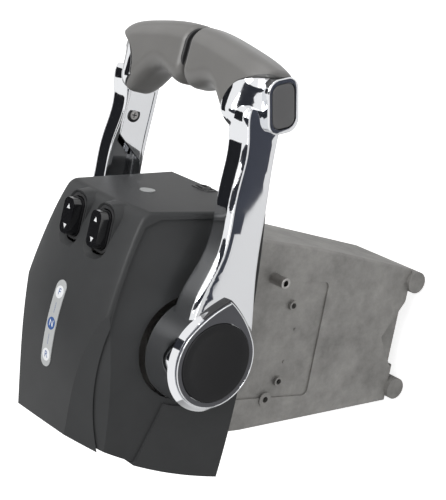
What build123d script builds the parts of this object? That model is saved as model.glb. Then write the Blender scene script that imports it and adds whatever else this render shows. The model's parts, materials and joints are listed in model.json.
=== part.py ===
from build123d import *
import os
from math import atan, cos, degrees, pi, radians, sin, sqrt, tan

# Twin lever throttle and shift control, in millimetres.
# X points to starboard, Y forward and Z up out of the console.
# The origin is the centre of the console bolts, on the console surface.
# Both levers are modelled at full ahead.

# Cover
COVER_FRONT = 95.0
COVER_BACK = 96.0
COVER_HALF_WIDTH = 63.4
COVER_BOW_RADIUS = 700.0
COVER_BOW_CENTRE = -10.0
COVER_WALL = 4.0
SIDE_DRAFT = 6.7
FRONT_DRAFT = 3.5
BACK_LEAN = 36.0
BACK_SAGITTA = 7.5
PROFILE_TOP = 130.0
FRONT_EDGE_RADIUS = 9.0
SIDE_EDGE_RADIUS = 3.0
BAND_CORNER = (48.4, 20.0, 110.5)
BAND_NORMAL = (0.695, -0.12, 0.709)
COVER_POST_RADIUS = 4.0
COVER_POST_X = 46.0
COVER_POST_Y = 62.0
COVER_SCREW_RADIUS = 1.5

# Side recess that the lever sweeps over
SWEEP_RECESS = 2.0
SWEEP_RIM = 4.0
SWEEP_RING_RADIUS = 41.0
SWEEP_TOP = 108.0
SWEEP_BACK_ANGLE = 15.5
HUB_OPENING_GAP = 1.5

# Levers
PIVOT_HEIGHT = 45.0
LEVER_ANGLE = -6.0
HUB_RADIUS = 35.5
HUB_INNER_X = 57.0
HUB_OUTER_X = 85.5
HUB_CHAMFER = 3.4
HUB_POCKET_X = 74.0
TEARDROP_RADIUS = 31.0
TEARDROP_TIP = 41.0
TEARDROP_SHOULDER = 55.0
TEARDROP_SEAT = 1.5
TEARDROP_PROUD = 1.5
TIP_LAND = 1.2
TIP_LAND_DEPTH = 6.0
BUTTON_RADIUS = 27.3
BUTTON_FIT = 0.06
BUTTON_PROUD = 1.0
BUTTON_THICKNESS = 9.0
BUTTON_DISH_DEPTH = 2.4
BUTTON_DISH_RADIUS = 22.5
BUTTON_RIM_RADIUS = 20.0
SPRING_OUTER = 26.5
SPRING_INNER = 21.0
DISC_SPRING_THICKNESS = 0.8
SHAFT_RADIUS = 9.0
SHAFT_END_X = 70.0
SHAFT_INNER_X = 0.4
SHAFT_THREAD_RADIUS = 4.2
HUB_BOLT_LENGTH = 20.0
HUB_BOLT_HEAD_RADIUS = 8.0
HUB_BOLT_HEAD_HEIGHT = 3.2
PIECE_GAP = 0.15
CHANNEL_FLOOR_X = 72.0
CHANNEL_DEPTH = 9.0
CHANNEL_EDGE = 3.2
CHANNEL_START = 55.0
CHANNEL_END = 152.0
INSERT_THICKNESS = 2.5
INSERT_START = 101.0
INSERT_CURVE = 120.0
INSERT_SCREW = (133.0, 6.5)
INSERT_SCREW_RADIUS = 1.6
INSERT_HEAD_RADIUS = 3.2
INSERT_HEAD_HEIGHT = 1.4
INSERT_HEAD_SUNK = 0.6
SCREW_BOSS_RADIUS = 4.0

# Grips, lever heads and the trim switch
GRIP_INNER_X = 1.8
GRIP_CORNER = 13.0
CORE_LENGTH = 20.0
CORE_WIDTH = 14.0
CORE_STATIONS = ((8.0, 189.0, 9.0), (66.0, 175.0, 8.0))
POD_OUTER_X = 78.0
POD_CENTRE = (172.6, -2.0)
POD_TILT = 20.7
POD_RIM = 3.5
BEZEL_LENGTH = 37.0
BEZEL_WIDTH = 25.6
BEZEL_CORNER = 9.0
BEZEL_HEIGHT = 3.0
BEZEL_EDGE = 1.2
TRIM_PAD_LENGTH = 29.3
TRIM_PAD_WIDTH = 18.3
TRIM_PAD_CORNER = 6.0
TRIM_PAD_GAP = 0.6
TRIM_PAD_DEPTH = 4.5
TRIM_POCKET_DEPTH = 5.5
TRIM_BASE_HEIGHT = 2.0

# Chassis
CHASSIS_HALF_WIDTH = 34.0
CHASSIS_SEAM_X = -9.0
CHASSIS_WALL = 3.5
CHASSIS_DEPTH = 178.0
CHASSIS_EDGE_RADIUS = 2.5
CHASSIS_ABOVE_PIVOT = 45.0
END_BOSS_RADIUS = 8.4
END_BOSS_PROUD = 3.0
END_BOSS_PLACES = ((37.8, -CHASSIS_DEPTH - 3.4), (-47.8, -CHASSIS_DEPTH - 5.0))
TIE_FLOOR = 3.5
NOTCH_DEPTH = 6.0
NOTCH_FLOOR = 3.0
NOTCH_APEX = (-6.2, -CHASSIS_DEPTH + 19.4)
NOTCH_SIDES = (26.0, -36.8)
SEAT_DEPTH = 1.2
SEAT_FRONT = 38.4
SEAT_BACK = -49.5
SEAT_LOW = -93.5
SEAT_CORNER = 5.0
STANDOFF_PLACE = (41.4, -38.6)
STANDOFF_RADIUS = 4.0
STANDOFF_LENGTH = 14.2
THREAD_M5_RADIUS = 2.1
THREAD_DEPTH = 10.0
SIDE_THREAD_DEPTH = 7.0
SIDE_THREAD_FLOOR = 1.0
TAPPED_PAD_RADIUS = 3.6
TAPPED_PAD_PROUD = 1.2
TAPPED_PLACES = ((20.6, -62.2), (-37.1, -62.4))
PIP_PLACES = ((2.0, -69.9), (-22.7, -65.4))
PIP_RADIUS = 1.1
PIP_HEIGHT = 0.6
LUG_PLACE = (-50.7, -53.3)
LUG_RADIUS = 5.5
LUG_HOLE_RADIUS = 2.25
LUG_PROUD = 0.8
WALL_BOSS_RADIUS = 18.0
WALL_BOSS_HEIGHT = 8.0
BUSH_WALL = 3.0
BUSH_FLANGE = 3.5
BUSH_FLANGE_THICKNESS = 1.5
RUNNING_FIT = 0.04
CENTRE_BUSH_WALL = 2.5
CENTRE_PLATE_THICKNESS = 5.0
CENTRE_BUSH_LENGTH = 14.0
CENTRE_POST_RADIUS = 4.0
TIE_PLACES = ((60.0, 3.0), (-64.0, 3.0), (0.0, 82.0))
TIE_BOSS_RADIUS = 5.0
TIE_SCREW_RADIUS = 2.0
WINDOW_HALF_WIDTH = 20.0
WINDOW_Y = (-32.0, 24.0)
WINDOW_GAP = 0.4
ANCHOR_DEPTH = 9.0
ANCHOR_FLANGE = 3.0
CABLE_BORE_RADIUS = 4.0
CABLE_PLACES = ((11.0, -20.0), (15.0, 11.0), (-11.0, -20.0), (-15.0, 11.0))

# Console fixing
GASKET_THICKNESS = 1.5
PLATE_THICKNESS = 4.0
PLATE_GAP = 0.4
CONSOLE_BOLT_RADIUS = 2.75
CONSOLE_BOLT_X = 43.0
CONSOLE_BOLT_Y = 82.0
EAR_REACH = 9.0
EAR_WIDTH = 16.0
EAR_THICKNESS = 4.0
EAR_Y = 48.0
EAR_SCREW_RADIUS = 2.0

# Gear train
GEAR_MODULE = 1.5
DRIVE_TEETH = 24
ARM_TEETH = 48
TOOTH_BACKLASH = 0.35
PRESSURE_ANGLE = 20.0
LEVER_TRAVEL = 156.0
NEUTRAL_TRAVEL = 96.0
DRIVE_GEAR_INNER_X = 8.0
ARM_PIN_RADIUS = 4.0
ARM_PIN_SEAT = 2.0
ARM_HUB_RADIUS = 7.5
ARM_LENGTH = 38.0
ARM_EYE_RADIUS = 5.5
ARM_THICKNESS = 4.0
THROTTLE_PLATE_X = 9.0
SHIFT_PLATE_X = 17.0
CABLE_PIN_RADIUS = 2.5
CABLE_PIN_PROUD = 5.0
END_PLAY = 0.4
DETENT_RADIUS = 24.0
DETENT_TO_WALL = 6.5
DETENT_THICKNESS = 3.0
DETENT_NOTCH_RADIUS = 2.4
DETENT_STEP = 20.0
SPRING_BUMP_RADIUS = 1.8
SPRING_THICKNESS = 0.9
SPRING_REACH = 22.0
SPRING_PEG_RADIUS = 2.0
SWITCH_PLACE = (DETENT_RADIUS + 14.0, PIVOT_HEIGHT + 13.0)
SWITCH_SIZE = (16.0, 11.0)
SWITCH_WIDTH = 7.0
SWITCH_PLUNGER = (5.0, 3.0)
MOVING_GAP = 0.4

# Cover switches and small fittings
ROCKER_X = 16.4
ROCKER_Y = 69.8
ROCKER_Z = 102.5
ROCKER_TILT = 3.0
ROCKER_LENGTH = 29.6
ROCKER_WIDTH = 16.6
ROCKER_CORNER = 7.0
ROCKER_FRAME_WALL = 0.9
ROCKER_GAP = 0.6
ROCKER_PROUD = 7.0
ROCKER_SWITCH_DEPTH = 15.0
ROCKER_TUB_FLOOR = 2.0
ROCKER_PADDLE_DEPTH = 7.0
ROCKER_END_PROUD = 3.0
ROCKER_EDGE = 2.6
ROCKER_DRAFT = 8.0
SCOOP_DEPTH = 1.5
SCOOP_MARGIN = 2.4
SCOOP_HEIGHT = 10.0
SCOOP_TAPER = 32.0
BOSS_MARGIN = 6.0
BOSS_HEIGHT = 14.0
BOSS_TAPER = 14.0
BOSS_FRONT_GAP = 0.6
LABEL_LENGTH = 60.0
LABEL_WIDTH = 11.2
LABEL_THICKNESS = 0.5
FITTINGS_X = -6.2
PLUG_Z = 54.7
PLUG_RADIUS = 5.4
PLUG_PROUD = 0.6
TAB_WIDTH = 13.0
TAB_HEIGHT = 8.0
TAB_Z = 6.0
TAB_PROUD = 1.6

# Crown of the cover: place along it, height, drop at the sides
CROWN_STATIONS = (
    (-112.0, 109.5, 1.5),
    (-70.0, 114.6, 1.8),
    (-35.0, 117.2, 2.2),
    (0.0, 118.0, 4.5),
    (30.0, 114.0, 5.4),
    (60.0, 105.8, 4.2),
    (104.0, 86.0, 5.5),
)

# Lever arm sections: distance from the pivot, inner x, outer x, lower edge, upper edge
ARM_SECTIONS = (
    (10.0, 61.5, 82.0, -31.0, 30.0),
    (35.0, 61.5, 81.8, -25.5, 25.0),
    (50.0, 61.8, 81.0, -22.0, 21.0),
    (64.0, 62.2, 80.2, -19.4, 16.4),
    (92.0, 62.8, 79.4, -15.5, 15.7),
    (120.0, 61.0, 78.2, -12.0, 16.9),
    (147.0, 58.8, 76.9, -9.4, 18.9),
    (166.0, 58.0, 75.4, -8.0, 21.3),
)
ARM_OUTER_CORNER = 4.0
ARM_INNER_CORNER = 1.6
ARM_DRAFT = 1.6

# Grip sections: x, lower end, upper end, lower edge, upper edge
GRIP_SECTIONS = (
    (GRIP_INNER_X, 171.5, 206.8, -7.0, 25.0),
    (22.0, 169.8, 206.6, -7.5, 25.5),
    (42.0, 163.5, 203.6, -8.0, 25.5),
    (58.0, 149.5, 200.6, -8.5, 25.0),
    (70.0, 149.0, 197.6, -9.0, 24.0),
    (80.0, 150.0, 193.6, -9.0, 20.0),
)

# Lever head sections: x, length, width, centre along, centre across, corner, tilt
POD_SECTIONS = (
    (50.0, 50.0, 33.5, 176.0, 8.4, 13.0, 0.0),
    (62.0, 48.0, 33.4, 173.5, 8.0, 13.0, 0.0),
    (70.0, 43.0, 31.0, 172.5, 3.5, 12.0, 11.0),
    (POD_OUTER_X - POD_RIM, BEZEL_LENGTH, BEZEL_WIDTH, *POD_CENTRE, BEZEL_CORNER, POD_TILT),
)

# Line between head and grip, from the trim switch round to the arm: x, distance from the pivot
HEAD_LINE = ((92.0, 196.3), (62.0, 181.0), (54.4, 171.5), (52.3, 161.0), (59.5, 151.5))
HEAD_LENGTH = 50.0
HEAD_GAP = 0.4

# Worked out from the driving dimensions
DRAFT_SLOPE = tan(radians(SIDE_DRAFT))
FRONT_SLOPE = tan(radians(FRONT_DRAFT))
ALONG = Vector(0, cos(radians(LEVER_ANGLE)), sin(radians(LEVER_ANGLE)))
ACROSS = Vector(0, -sin(radians(LEVER_ANGLE)), cos(radians(LEVER_ANGLE)))
PLATE_TOP = GASKET_THICKNESS + PLATE_THICKNESS
WALL_INNER_X = CHASSIS_HALF_WIDTH - CHASSIS_WALL
DETENT_X = WALL_INNER_X - DETENT_TO_WALL
BUSH_RADIUS = SHAFT_RADIUS + BUSH_WALL
BUTTON_FACE_X = HUB_OUTER_X + TEARDROP_PROUD + BUTTON_PROUD
BUTTON_BACK_X = BUTTON_FACE_X - BUTTON_THICKNESS
BUTTON_BORE = BUTTON_RADIUS + BUTTON_FIT
DRIVE_RADIUS = GEAR_MODULE * DRIVE_TEETH / 2
ARM_GEAR_RADIUS = GEAR_MODULE * ARM_TEETH / 2
GEAR_CENTRES = DRIVE_RADIUS + ARM_GEAR_RADIUS
DRIVE_PITCH = 360 / DRIVE_TEETH
ARM_PITCH = 360 / ARM_TEETH
ARM_TRAVEL = LEVER_TRAVEL * DRIVE_TEETH / ARM_TEETH
THROTTLE_BEARING = -90 - 2.5 * DRIVE_PITCH
SHIFT_BEARING = -90 + 2.5 * DRIVE_PITCH
CENTRE_PLATE_X = CENTRE_PLATE_THICKNESS / 2
CHASSIS_TOP = PIVOT_HEIGHT + CHASSIS_ABOVE_PIVOT


def lever_plane(x, along=0.0, across=0.0, tilt=0.0):
    """A plane facing starboard, on the lever's own axes."""
    origin = Vector(x, 0, PIVOT_HEIGHT) + ALONG * along + ACROSS * across
    direction = ALONG * cos(radians(tilt)) + ACROSS * sin(radians(tilt))
    return Plane(origin=origin, x_dir=direction, z_dir=(1, 0, 0))


def side_plane(x, y=0.0, z=0.0):
    """A plane facing starboard, with Y to the right and Z up."""
    return Plane(origin=(x, y, z), x_dir=(0, 1, 0), z_dir=(1, 0, 0))


def cross_plane(y):
    """A plane facing aft, with X to the right and Z up."""
    return Plane(origin=(0, y, 0), x_dir=(1, 0, 0), z_dir=(0, -1, 0))


def base_half_width(y):
    """Half the cover's width on the console at a place along it."""
    return COVER_HALF_WIDTH - COVER_BOW_RADIUS + sqrt(COVER_BOW_RADIUS**2 - (y - COVER_BOW_CENTRE) ** 2)


def cover_form(inset, floor):
    """The cover's outer form, moved inwards by the inset and standing on the floor."""
    front = COVER_FRONT - inset
    back = -COVER_BACK + inset
    front_top = front - FRONT_SLOPE * PROFILE_TOP
    back_top = back + BACK_LEAN
    normal = Vector(*BAND_NORMAL).normalized()
    mirrored = Vector(-normal.X, normal.Y, normal.Z)
    with BuildPart() as form:
        for place, height, drop in CROWN_STATIONS:
            edge = height - drop - inset
            low = base_half_width(place) - inset - DRAFT_SLOPE * floor
            high = base_half_width(place) - inset - DRAFT_SLOPE * edge
            with BuildSketch(cross_plane(place)):
                with BuildLine():
                    Line((-low, floor), (low, floor))
                    Line((low, floor), (high, edge))
                    ThreePointArc((high, edge), (0, height - inset), (-high, edge))
                    Line((-high, edge), (-low, floor))
                make_face()
        loft()
        with BuildSketch(Plane.YZ):
            with BuildLine():
                Line((back, floor), (front, floor))
                Line((front, floor), (front_top, PROFILE_TOP))
                Line((front_top, PROFILE_TOP), (back_top, PROFILE_TOP))
                SagittaArc((back_top, PROFILE_TOP), (back, floor), -BACK_SAGITTA)
            make_face()
        extrude(amount=2 * COVER_HALF_WIDTH, both=True, mode=Mode.INTERSECT)
        corner = Vector(*BAND_CORNER) - normal * inset
        split(bisect_by=Plane(origin=corner, z_dir=normal), keep=Keep.BOTTOM)
        corner = Vector(-BAND_CORNER[0], *BAND_CORNER[1:]) - mirrored * inset
        split(bisect_by=Plane(origin=corner, z_dir=mirrored), keep=Keep.BOTTOM)
    return form.part


def base_outline(inset):
    """The cover's outline on the console, moved inwards by the inset."""
    front = COVER_FRONT - inset
    back = -COVER_BACK + inset
    middle = COVER_BOW_CENTRE
    widths = [base_half_width(place) - inset for place in (front, middle, back)]
    with BuildSketch() as outline:
        with BuildLine():
            Line((-widths[0], front), (widths[0], front))
            ThreePointArc((widths[0], front), (widths[1], middle), (widths[2], back))
            Line((widths[2], back), (-widths[2], back))
            ThreePointArc((-widths[2], back), (-widths[1], middle), (-widths[0], front))
        make_face()
    return outline.sketch


outer_form = cover_form(0, 0)
inner_form = cover_form(COVER_WALL, -1)
sweep_form = cover_form(SWEEP_RECESS, -1)
label_form = cover_form(-LABEL_THICKNESS, 0)

# The side recess stops short of the front edge and runs out at the back
with BuildPart() as sweep_recess:
    front_low = COVER_FRONT - SWEEP_RIM
    front_high = front_low - FRONT_SLOPE * SWEEP_TOP
    crown_edge = (80.0, 91.0)
    back_reach = -COVER_BACK - SWEEP_RIM
    back_rise = PIVOT_HEIGHT - back_reach * tan(radians(SWEEP_BACK_ANGLE))
    with BuildSketch(Plane.YZ):
        with BuildLine():
            Line((0, PIVOT_HEIGHT), (0, SWEEP_RIM))
            Line((0, SWEEP_RIM), (front_low, SWEEP_RIM))
            Line((front_low, SWEEP_RIM), (front_high + 1, crown_edge[1] - 11))
            Line((front_high + 1, crown_edge[1] - 11), crown_edge)
            ThreePointArc(crown_edge, (COVER_BOW_CENTRE, SWEEP_TOP), (back_reach, crown_edge[1] - 4))
            Line((back_reach, crown_edge[1] - 4), (back_reach, back_rise))
            Line((back_reach, back_rise), (0, PIVOT_HEIGHT))
        make_face()
        with Locations((0, PIVOT_HEIGHT)):
            Circle(SWEEP_RING_RADIUS)
    extrude(amount=2 * COVER_HALF_WIDTH, both=True)
    add(sweep_form, mode=Mode.SUBTRACT)

rocker_planes = [
    Plane(
        origin=(side * ROCKER_X, ROCKER_Y, ROCKER_Z),
        x_dir=(1, 0, 0),
        z_dir=(0, sin(radians(ROCKER_TILT)), cos(radians(ROCKER_TILT))),
    )
    for side in (-1, 1)
]
front_plane = Plane(
    origin=(FITTINGS_X, COVER_FRONT, 0),
    x_dir=(-1, 0, 0),
    z_dir=(0, cos(radians(FRONT_DRAFT)), sin(radians(FRONT_DRAFT))),
)

# Flat bosses that the rockers stand on, where the crown falls away to the front
with BuildPart() as rocker_bosses:
    for plane in rocker_planes:
        spread = 2 * BOSS_HEIGHT * tan(radians(BOSS_TAPER))
        with BuildSketch(plane.offset(-BOSS_HEIGHT)):
            RectangleRounded(
                ROCKER_WIDTH + BOSS_MARGIN + spread,
                ROCKER_LENGTH + BOSS_MARGIN + spread,
                ROCKER_CORNER + (BOSS_MARGIN + spread) / 2,
            )
        extrude(amount=BOSS_HEIGHT, taper=BOSS_TAPER)
    split(bisect_by=front_plane.offset(-BOSS_FRONT_GAP), keep=Keep.BOTTOM)

with BuildPart() as cover:
    add(outer_form)
    front_face = cover.faces().sort_by(Axis.Y)[-1]
    fillet(front_face.edges().sort_by(Axis.Z)[-1], FRONT_EDGE_RADIUS)
    shoulder = cover.edges().filter_by(lambda e: e.length > 40 and e.center().Z > 95 and abs(e.center().X) > 45)
    fillet([edge for edge in shoulder if edge.center().Y > 20], SIDE_EDGE_RADIUS)
    add(sweep_recess.part, mode=Mode.SUBTRACT)
    add(rocker_bosses.part)
    add(inner_form, mode=Mode.SUBTRACT)
    # Posts that take the screws from the mounting plate
    with BuildSketch(Plane.XY.offset(PLATE_TOP)):
        with GridLocations(2 * COVER_POST_X, 2 * COVER_POST_Y, 2, 2):
            Circle(COVER_POST_RADIUS)
    posts = extrude(amount=BAND_CORNER[2] - 4 * COVER_WALL, mode=Mode.PRIVATE)
    add(posts & inner_form)
    with BuildSketch(Plane.XY.offset(PLATE_TOP)):
        with GridLocations(2 * COVER_POST_X, 2 * COVER_POST_Y, 2, 2):
            Circle(COVER_SCREW_RADIUS)
    extrude(amount=12, mode=Mode.SUBTRACT)
    with BuildSketch(side_plane(0, 0, PIVOT_HEIGHT)):
        Circle(HUB_RADIUS + HUB_OPENING_GAP)
    extrude(amount=2 * COVER_HALF_WIDTH, both=True, mode=Mode.SUBTRACT)
    for plane in rocker_planes:
        with BuildSketch(plane.offset(-SCOOP_DEPTH)):
            RectangleRounded(ROCKER_WIDTH + SCOOP_MARGIN, ROCKER_LENGTH + SCOOP_MARGIN, ROCKER_CORNER)
        extrude(amount=SCOOP_HEIGHT, taper=-SCOOP_TAPER, mode=Mode.SUBTRACT)
        with BuildSketch(plane):
            RectangleRounded(ROCKER_WIDTH, ROCKER_LENGTH, ROCKER_CORNER)
        extrude(amount=4 * COVER_WALL, both=True, mode=Mode.SUBTRACT)
    with BuildSketch(front_plane):
        with Locations((0, PLUG_Z)):
            Circle(PLUG_RADIUS - 1)
    extrude(amount=2 * COVER_WALL, both=True, mode=Mode.SUBTRACT)


# Chassis outline: forward side, bottom, aft side and the rounded top under the cover
with BuildSketch(Plane.YZ) as chassis_outline:
    with BuildLine():
        Polyline(
            (72, 0),
            (66, 34),
            (50, CHASSIS_TOP),
            (-50, CHASSIS_TOP),
            (-66, 34),
            (-75.5, 0),
            (-73.9, -36),
            (-58.5, -CHASSIS_DEPTH),
            (47.5, -CHASSIS_DEPTH),
            (63, -81),
            (69.5, -23.5),
            close=True,
        )
    make_face()
    high = chassis_outline.vertices().filter_by(lambda v: v.Z > 80)
    fillet(high, 14)
    low = chassis_outline.vertices().filter_by(lambda v: v.Z < -170)
    fillet(low, 5)

with BuildSketch(Plane.YZ) as chassis_cavity:
    add(chassis_outline.sketch_local)
    offset(amount=-CHASSIS_WALL, kind=Kind.INTERSECTION, mode=Mode.REPLACE)

pin_places = [
    (GEAR_CENTRES * cos(radians(bearing)), PIVOT_HEIGHT + GEAR_CENTRES * sin(radians(bearing)))
    for bearing in (THROTTLE_BEARING, SHIFT_BEARING)
]
centre_post_places = ((38.0, -50.0), (-38.0, -50.0), (34.0, 76.0), (-34.0, 76.0))


def chassis_half(inner_x, outer_x):
    """One cast half, between its seam and its outer face, with the pivot boss and fixing ears."""
    side = 1 if outer_x > 0 else -1
    wall_x = outer_x - side * CHASSIS_WALL
    boss_x = outer_x + side * WALL_BOSS_HEIGHT
    with BuildPart() as half:
        extrude(Pos(X=inner_x) * chassis_outline.sketch, amount=outer_x - inner_x)
        rim = half.faces().sort_by(Axis.X)[-1 if side > 0 else 0].edges()
        fillet(rim, CHASSIS_EDGE_RADIUS)
        # Fixing ears above the mounting plate, and the pivot boss
        with BuildSketch(Plane.XY.offset(PLATE_TOP)):
            for place in (EAR_Y, -EAR_Y):
                with Locations((side * (CHASSIS_HALF_WIDTH + EAR_REACH / 2 - 2), place)):
                    Rectangle(EAR_REACH + 4, EAR_WIDTH)
        extrude(amount=EAR_THICKNESS)
        with BuildSketch(side_plane(outer_x, 0, PIVOT_HEIGHT)):
            Circle(WALL_BOSS_RADIUS)
        extrude(amount=side * WALL_BOSS_HEIGHT)
        for place in END_BOSS_PLACES:
            with BuildSketch(side_plane(inner_x, *place)):
                Circle(END_BOSS_RADIUS)
            extrude(amount=outer_x - inner_x + side * END_BOSS_PROUD)
        extrude(Pos(X=inner_x) * chassis_cavity.sketch, amount=wall_x - inner_x, mode=Mode.SUBTRACT)
        # Bosses for the tie screws
        for place in TIE_PLACES:
            with BuildSketch(side_plane(inner_x, *place)):
                Circle(TIE_BOSS_RADIUS)
            extrude(amount=wall_x - inner_x)
        for place in END_BOSS_PLACES:
            with BuildSketch(side_plane(inner_x, *place)):
                Circle(END_BOSS_RADIUS)
            extrude(amount=wall_x - inner_x)
        # The tie screws go in from port, into blind holes to starboard
        tie_reach = outer_x - TIE_FLOOR - inner_x if side > 0 else outer_x - END_BOSS_PROUD - 1 - inner_x
        for place in TIE_PLACES + END_BOSS_PLACES:
            with BuildSketch(side_plane(inner_x, *place)):
                Circle(TIE_SCREW_RADIUS)
            extrude(amount=tie_reach, mode=Mode.SUBTRACT)
        with BuildSketch(Plane.XY.offset(PLATE_TOP)):
            for place in (EAR_Y, -EAR_Y):
                with Locations((side * (CHASSIS_HALF_WIDTH + EAR_REACH / 2), place)):
                    Circle(EAR_SCREW_RADIUS)
        extrude(amount=EAR_THICKNESS, mode=Mode.SUBTRACT)
        # Window for the cable anchor in the end wall
        with BuildSketch(Plane.XY.offset(-CHASSIS_DEPTH)):
            with Locations((0, sum(WINDOW_Y) / 2)):
                Rectangle(2 * WINDOW_HALF_WIDTH, WINDOW_Y[1] - WINDOW_Y[0])
        extrude(amount=2 * CHASSIS_WALL, mode=Mode.SUBTRACT)
        # Seats for the bush and the gear arm pins
        with BuildSketch(side_plane(wall_x - side, 0, PIVOT_HEIGHT)):
            Circle(BUSH_RADIUS)
        extrude(amount=boss_x - wall_x + 2 * side, mode=Mode.SUBTRACT)
        with BuildSketch(side_plane(wall_x)):
            with Locations(*pin_places):
                Circle(ARM_PIN_RADIUS)
        extrude(amount=side * ARM_PIN_SEAT, mode=Mode.SUBTRACT)
        # Peg for the detent spring
        with BuildSketch(side_plane(side * DETENT_X, -SPRING_REACH, spring_z)):
            Circle(SPRING_PEG_RADIUS)
        extrude(amount=wall_x - side * DETENT_X)
    return half.part


spring_z = PIVOT_HEIGHT + DETENT_RADIUS + MOVING_GAP + SPRING_BUMP_RADIUS

with BuildPart() as starboard_chassis:
    add(chassis_half(CHASSIS_SEAM_X, CHASSIS_HALF_WIDTH))
    # Posts that carry the centre plate
    with BuildSketch(side_plane(CENTRE_PLATE_X)):
        with Locations(*centre_post_places):
            Circle(CENTRE_POST_RADIUS)
    extrude(amount=WALL_INNER_X - CENTRE_PLATE_X)
    # Thickened wall behind the notch, then the notch itself
    with BuildSketch(side_plane(WALL_INNER_X - NOTCH_DEPTH - NOTCH_FLOOR + CHASSIS_WALL)):
        with Locations(((NOTCH_SIDES[0] + NOTCH_SIDES[1]) / 2, -CHASSIS_DEPTH + 13)):
            Rectangle(NOTCH_SIDES[0] - NOTCH_SIDES[1] + 6, 24)
    extrude(amount=NOTCH_DEPTH + NOTCH_FLOOR - CHASSIS_WALL)
    with BuildSketch(side_plane(CHASSIS_HALF_WIDTH)):
        with BuildLine():
            Polyline(
                (NOTCH_SIDES[0], -CHASSIS_DEPTH - 1),
                NOTCH_APEX,
                (NOTCH_SIDES[1], -CHASSIS_DEPTH - 1),
                close=True,
            )
        make_face()
        fillet(vertices().sort_by(Axis.Z)[-1], 3)
    extrude(amount=-NOTCH_DEPTH, mode=Mode.SUBTRACT)
    # Machined seat on the outer face, with its fixings
    with BuildSketch(side_plane(CHASSIS_HALF_WIDTH)):
        with Locations(((SEAT_FRONT + SEAT_BACK) / 2, SEAT_LOW / 2 + 2)):
            RectangleRounded(SEAT_FRONT - SEAT_BACK, -SEAT_LOW + 4, SEAT_CORNER)
    extrude(amount=-SEAT_DEPTH, mode=Mode.SUBTRACT)
    with BuildSketch(side_plane(CHASSIS_HALF_WIDTH - SIDE_THREAD_DEPTH)):
        with Locations(*TAPPED_PLACES, STANDOFF_PLACE):
            Circle(2 * THREAD_M5_RADIUS)
    extrude(amount=SIDE_THREAD_DEPTH - CHASSIS_WALL)
    with BuildSketch(side_plane(WALL_INNER_X)):
        with Locations(*TAPPED_PLACES):
            Circle(TAPPED_PAD_RADIUS)
    extrude(amount=CHASSIS_WALL + TAPPED_PAD_PROUD)
    with BuildSketch(side_plane(CHASSIS_HALF_WIDTH + TAPPED_PAD_PROUD)):
        with Locations(*TAPPED_PLACES, STANDOFF_PLACE):
            Circle(THREAD_M5_RADIUS)
    extrude(amount=SIDE_THREAD_FLOOR - SIDE_THREAD_DEPTH - TAPPED_PAD_PROUD, mode=Mode.SUBTRACT)
    with BuildSketch(side_plane(CHASSIS_HALF_WIDTH - SEAT_DEPTH)):
        with Locations(*PIP_PLACES):
            Circle(PIP_RADIUS)
    extrude(amount=PIP_HEIGHT)
    with BuildSketch(side_plane(WALL_INNER_X)):
        with Locations(LUG_PLACE):
            Circle(LUG_RADIUS)
    extrude(amount=CHASSIS_WALL + LUG_PROUD)
    with BuildSketch(side_plane(WALL_INNER_X - 1)):
        with Locations(LUG_PLACE):
            Circle(LUG_HOLE_RADIUS)
    extrude(amount=2 * CHASSIS_WALL, mode=Mode.SUBTRACT)

with BuildPart() as port_chassis:
    add(chassis_half(CHASSIS_SEAM_X, -CHASSIS_HALF_WIDTH))

with BuildPart() as standoff:
    with BuildSketch(side_plane(CHASSIS_HALF_WIDTH, *STANDOFF_PLACE)):
        Circle(STANDOFF_RADIUS)
    extrude(amount=STANDOFF_LENGTH)
    with BuildSketch(side_plane(CHASSIS_HALF_WIDTH, *STANDOFF_PLACE)):
        Circle(THREAD_M5_RADIUS)
    extrude(amount=-SIDE_THREAD_DEPTH + 2 * SIDE_THREAD_FLOOR)
    with BuildSketch(side_plane(CHASSIS_HALF_WIDTH + STANDOFF_LENGTH, *STANDOFF_PLACE)):
        Circle(THREAD_M5_RADIUS)
    extrude(amount=-THREAD_DEPTH, mode=Mode.SUBTRACT)
    chamfer(standoff.faces().sort_by(Axis.X)[-1].edges(), 0.5)

# Plate between the two gear trains, and its bush
with BuildPart() as centre_plate:
    with BuildSketch(side_plane(-CENTRE_PLATE_X)):
        with Locations((0, 13)):
            RectangleRounded(88, 138, 10)
        with Locations((0, 82)):
            Circle(TIE_BOSS_RADIUS + 1, mode=Mode.SUBTRACT)
        with Locations((0, PIVOT_HEIGHT)):
            Circle(SHAFT_RADIUS + CENTRE_BUSH_WALL, mode=Mode.SUBTRACT)
    extrude(amount=CENTRE_PLATE_THICKNESS)
    for side in (-1, 1):
        with BuildSketch(side_plane(side * CENTRE_PLATE_X)):
            with Locations(*pin_places):
                Circle(ARM_PIN_RADIUS)
        extrude(amount=-side * ARM_PIN_SEAT, mode=Mode.SUBTRACT)

with BuildPart() as centre_bush:
    with BuildSketch(side_plane(-CENTRE_BUSH_LENGTH / 2, 0, PIVOT_HEIGHT)):
        Circle(SHAFT_RADIUS + CENTRE_BUSH_WALL)
        Circle(SHAFT_RADIUS + RUNNING_FIT, mode=Mode.SUBTRACT)
    extrude(amount=CENTRE_BUSH_LENGTH)

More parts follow.
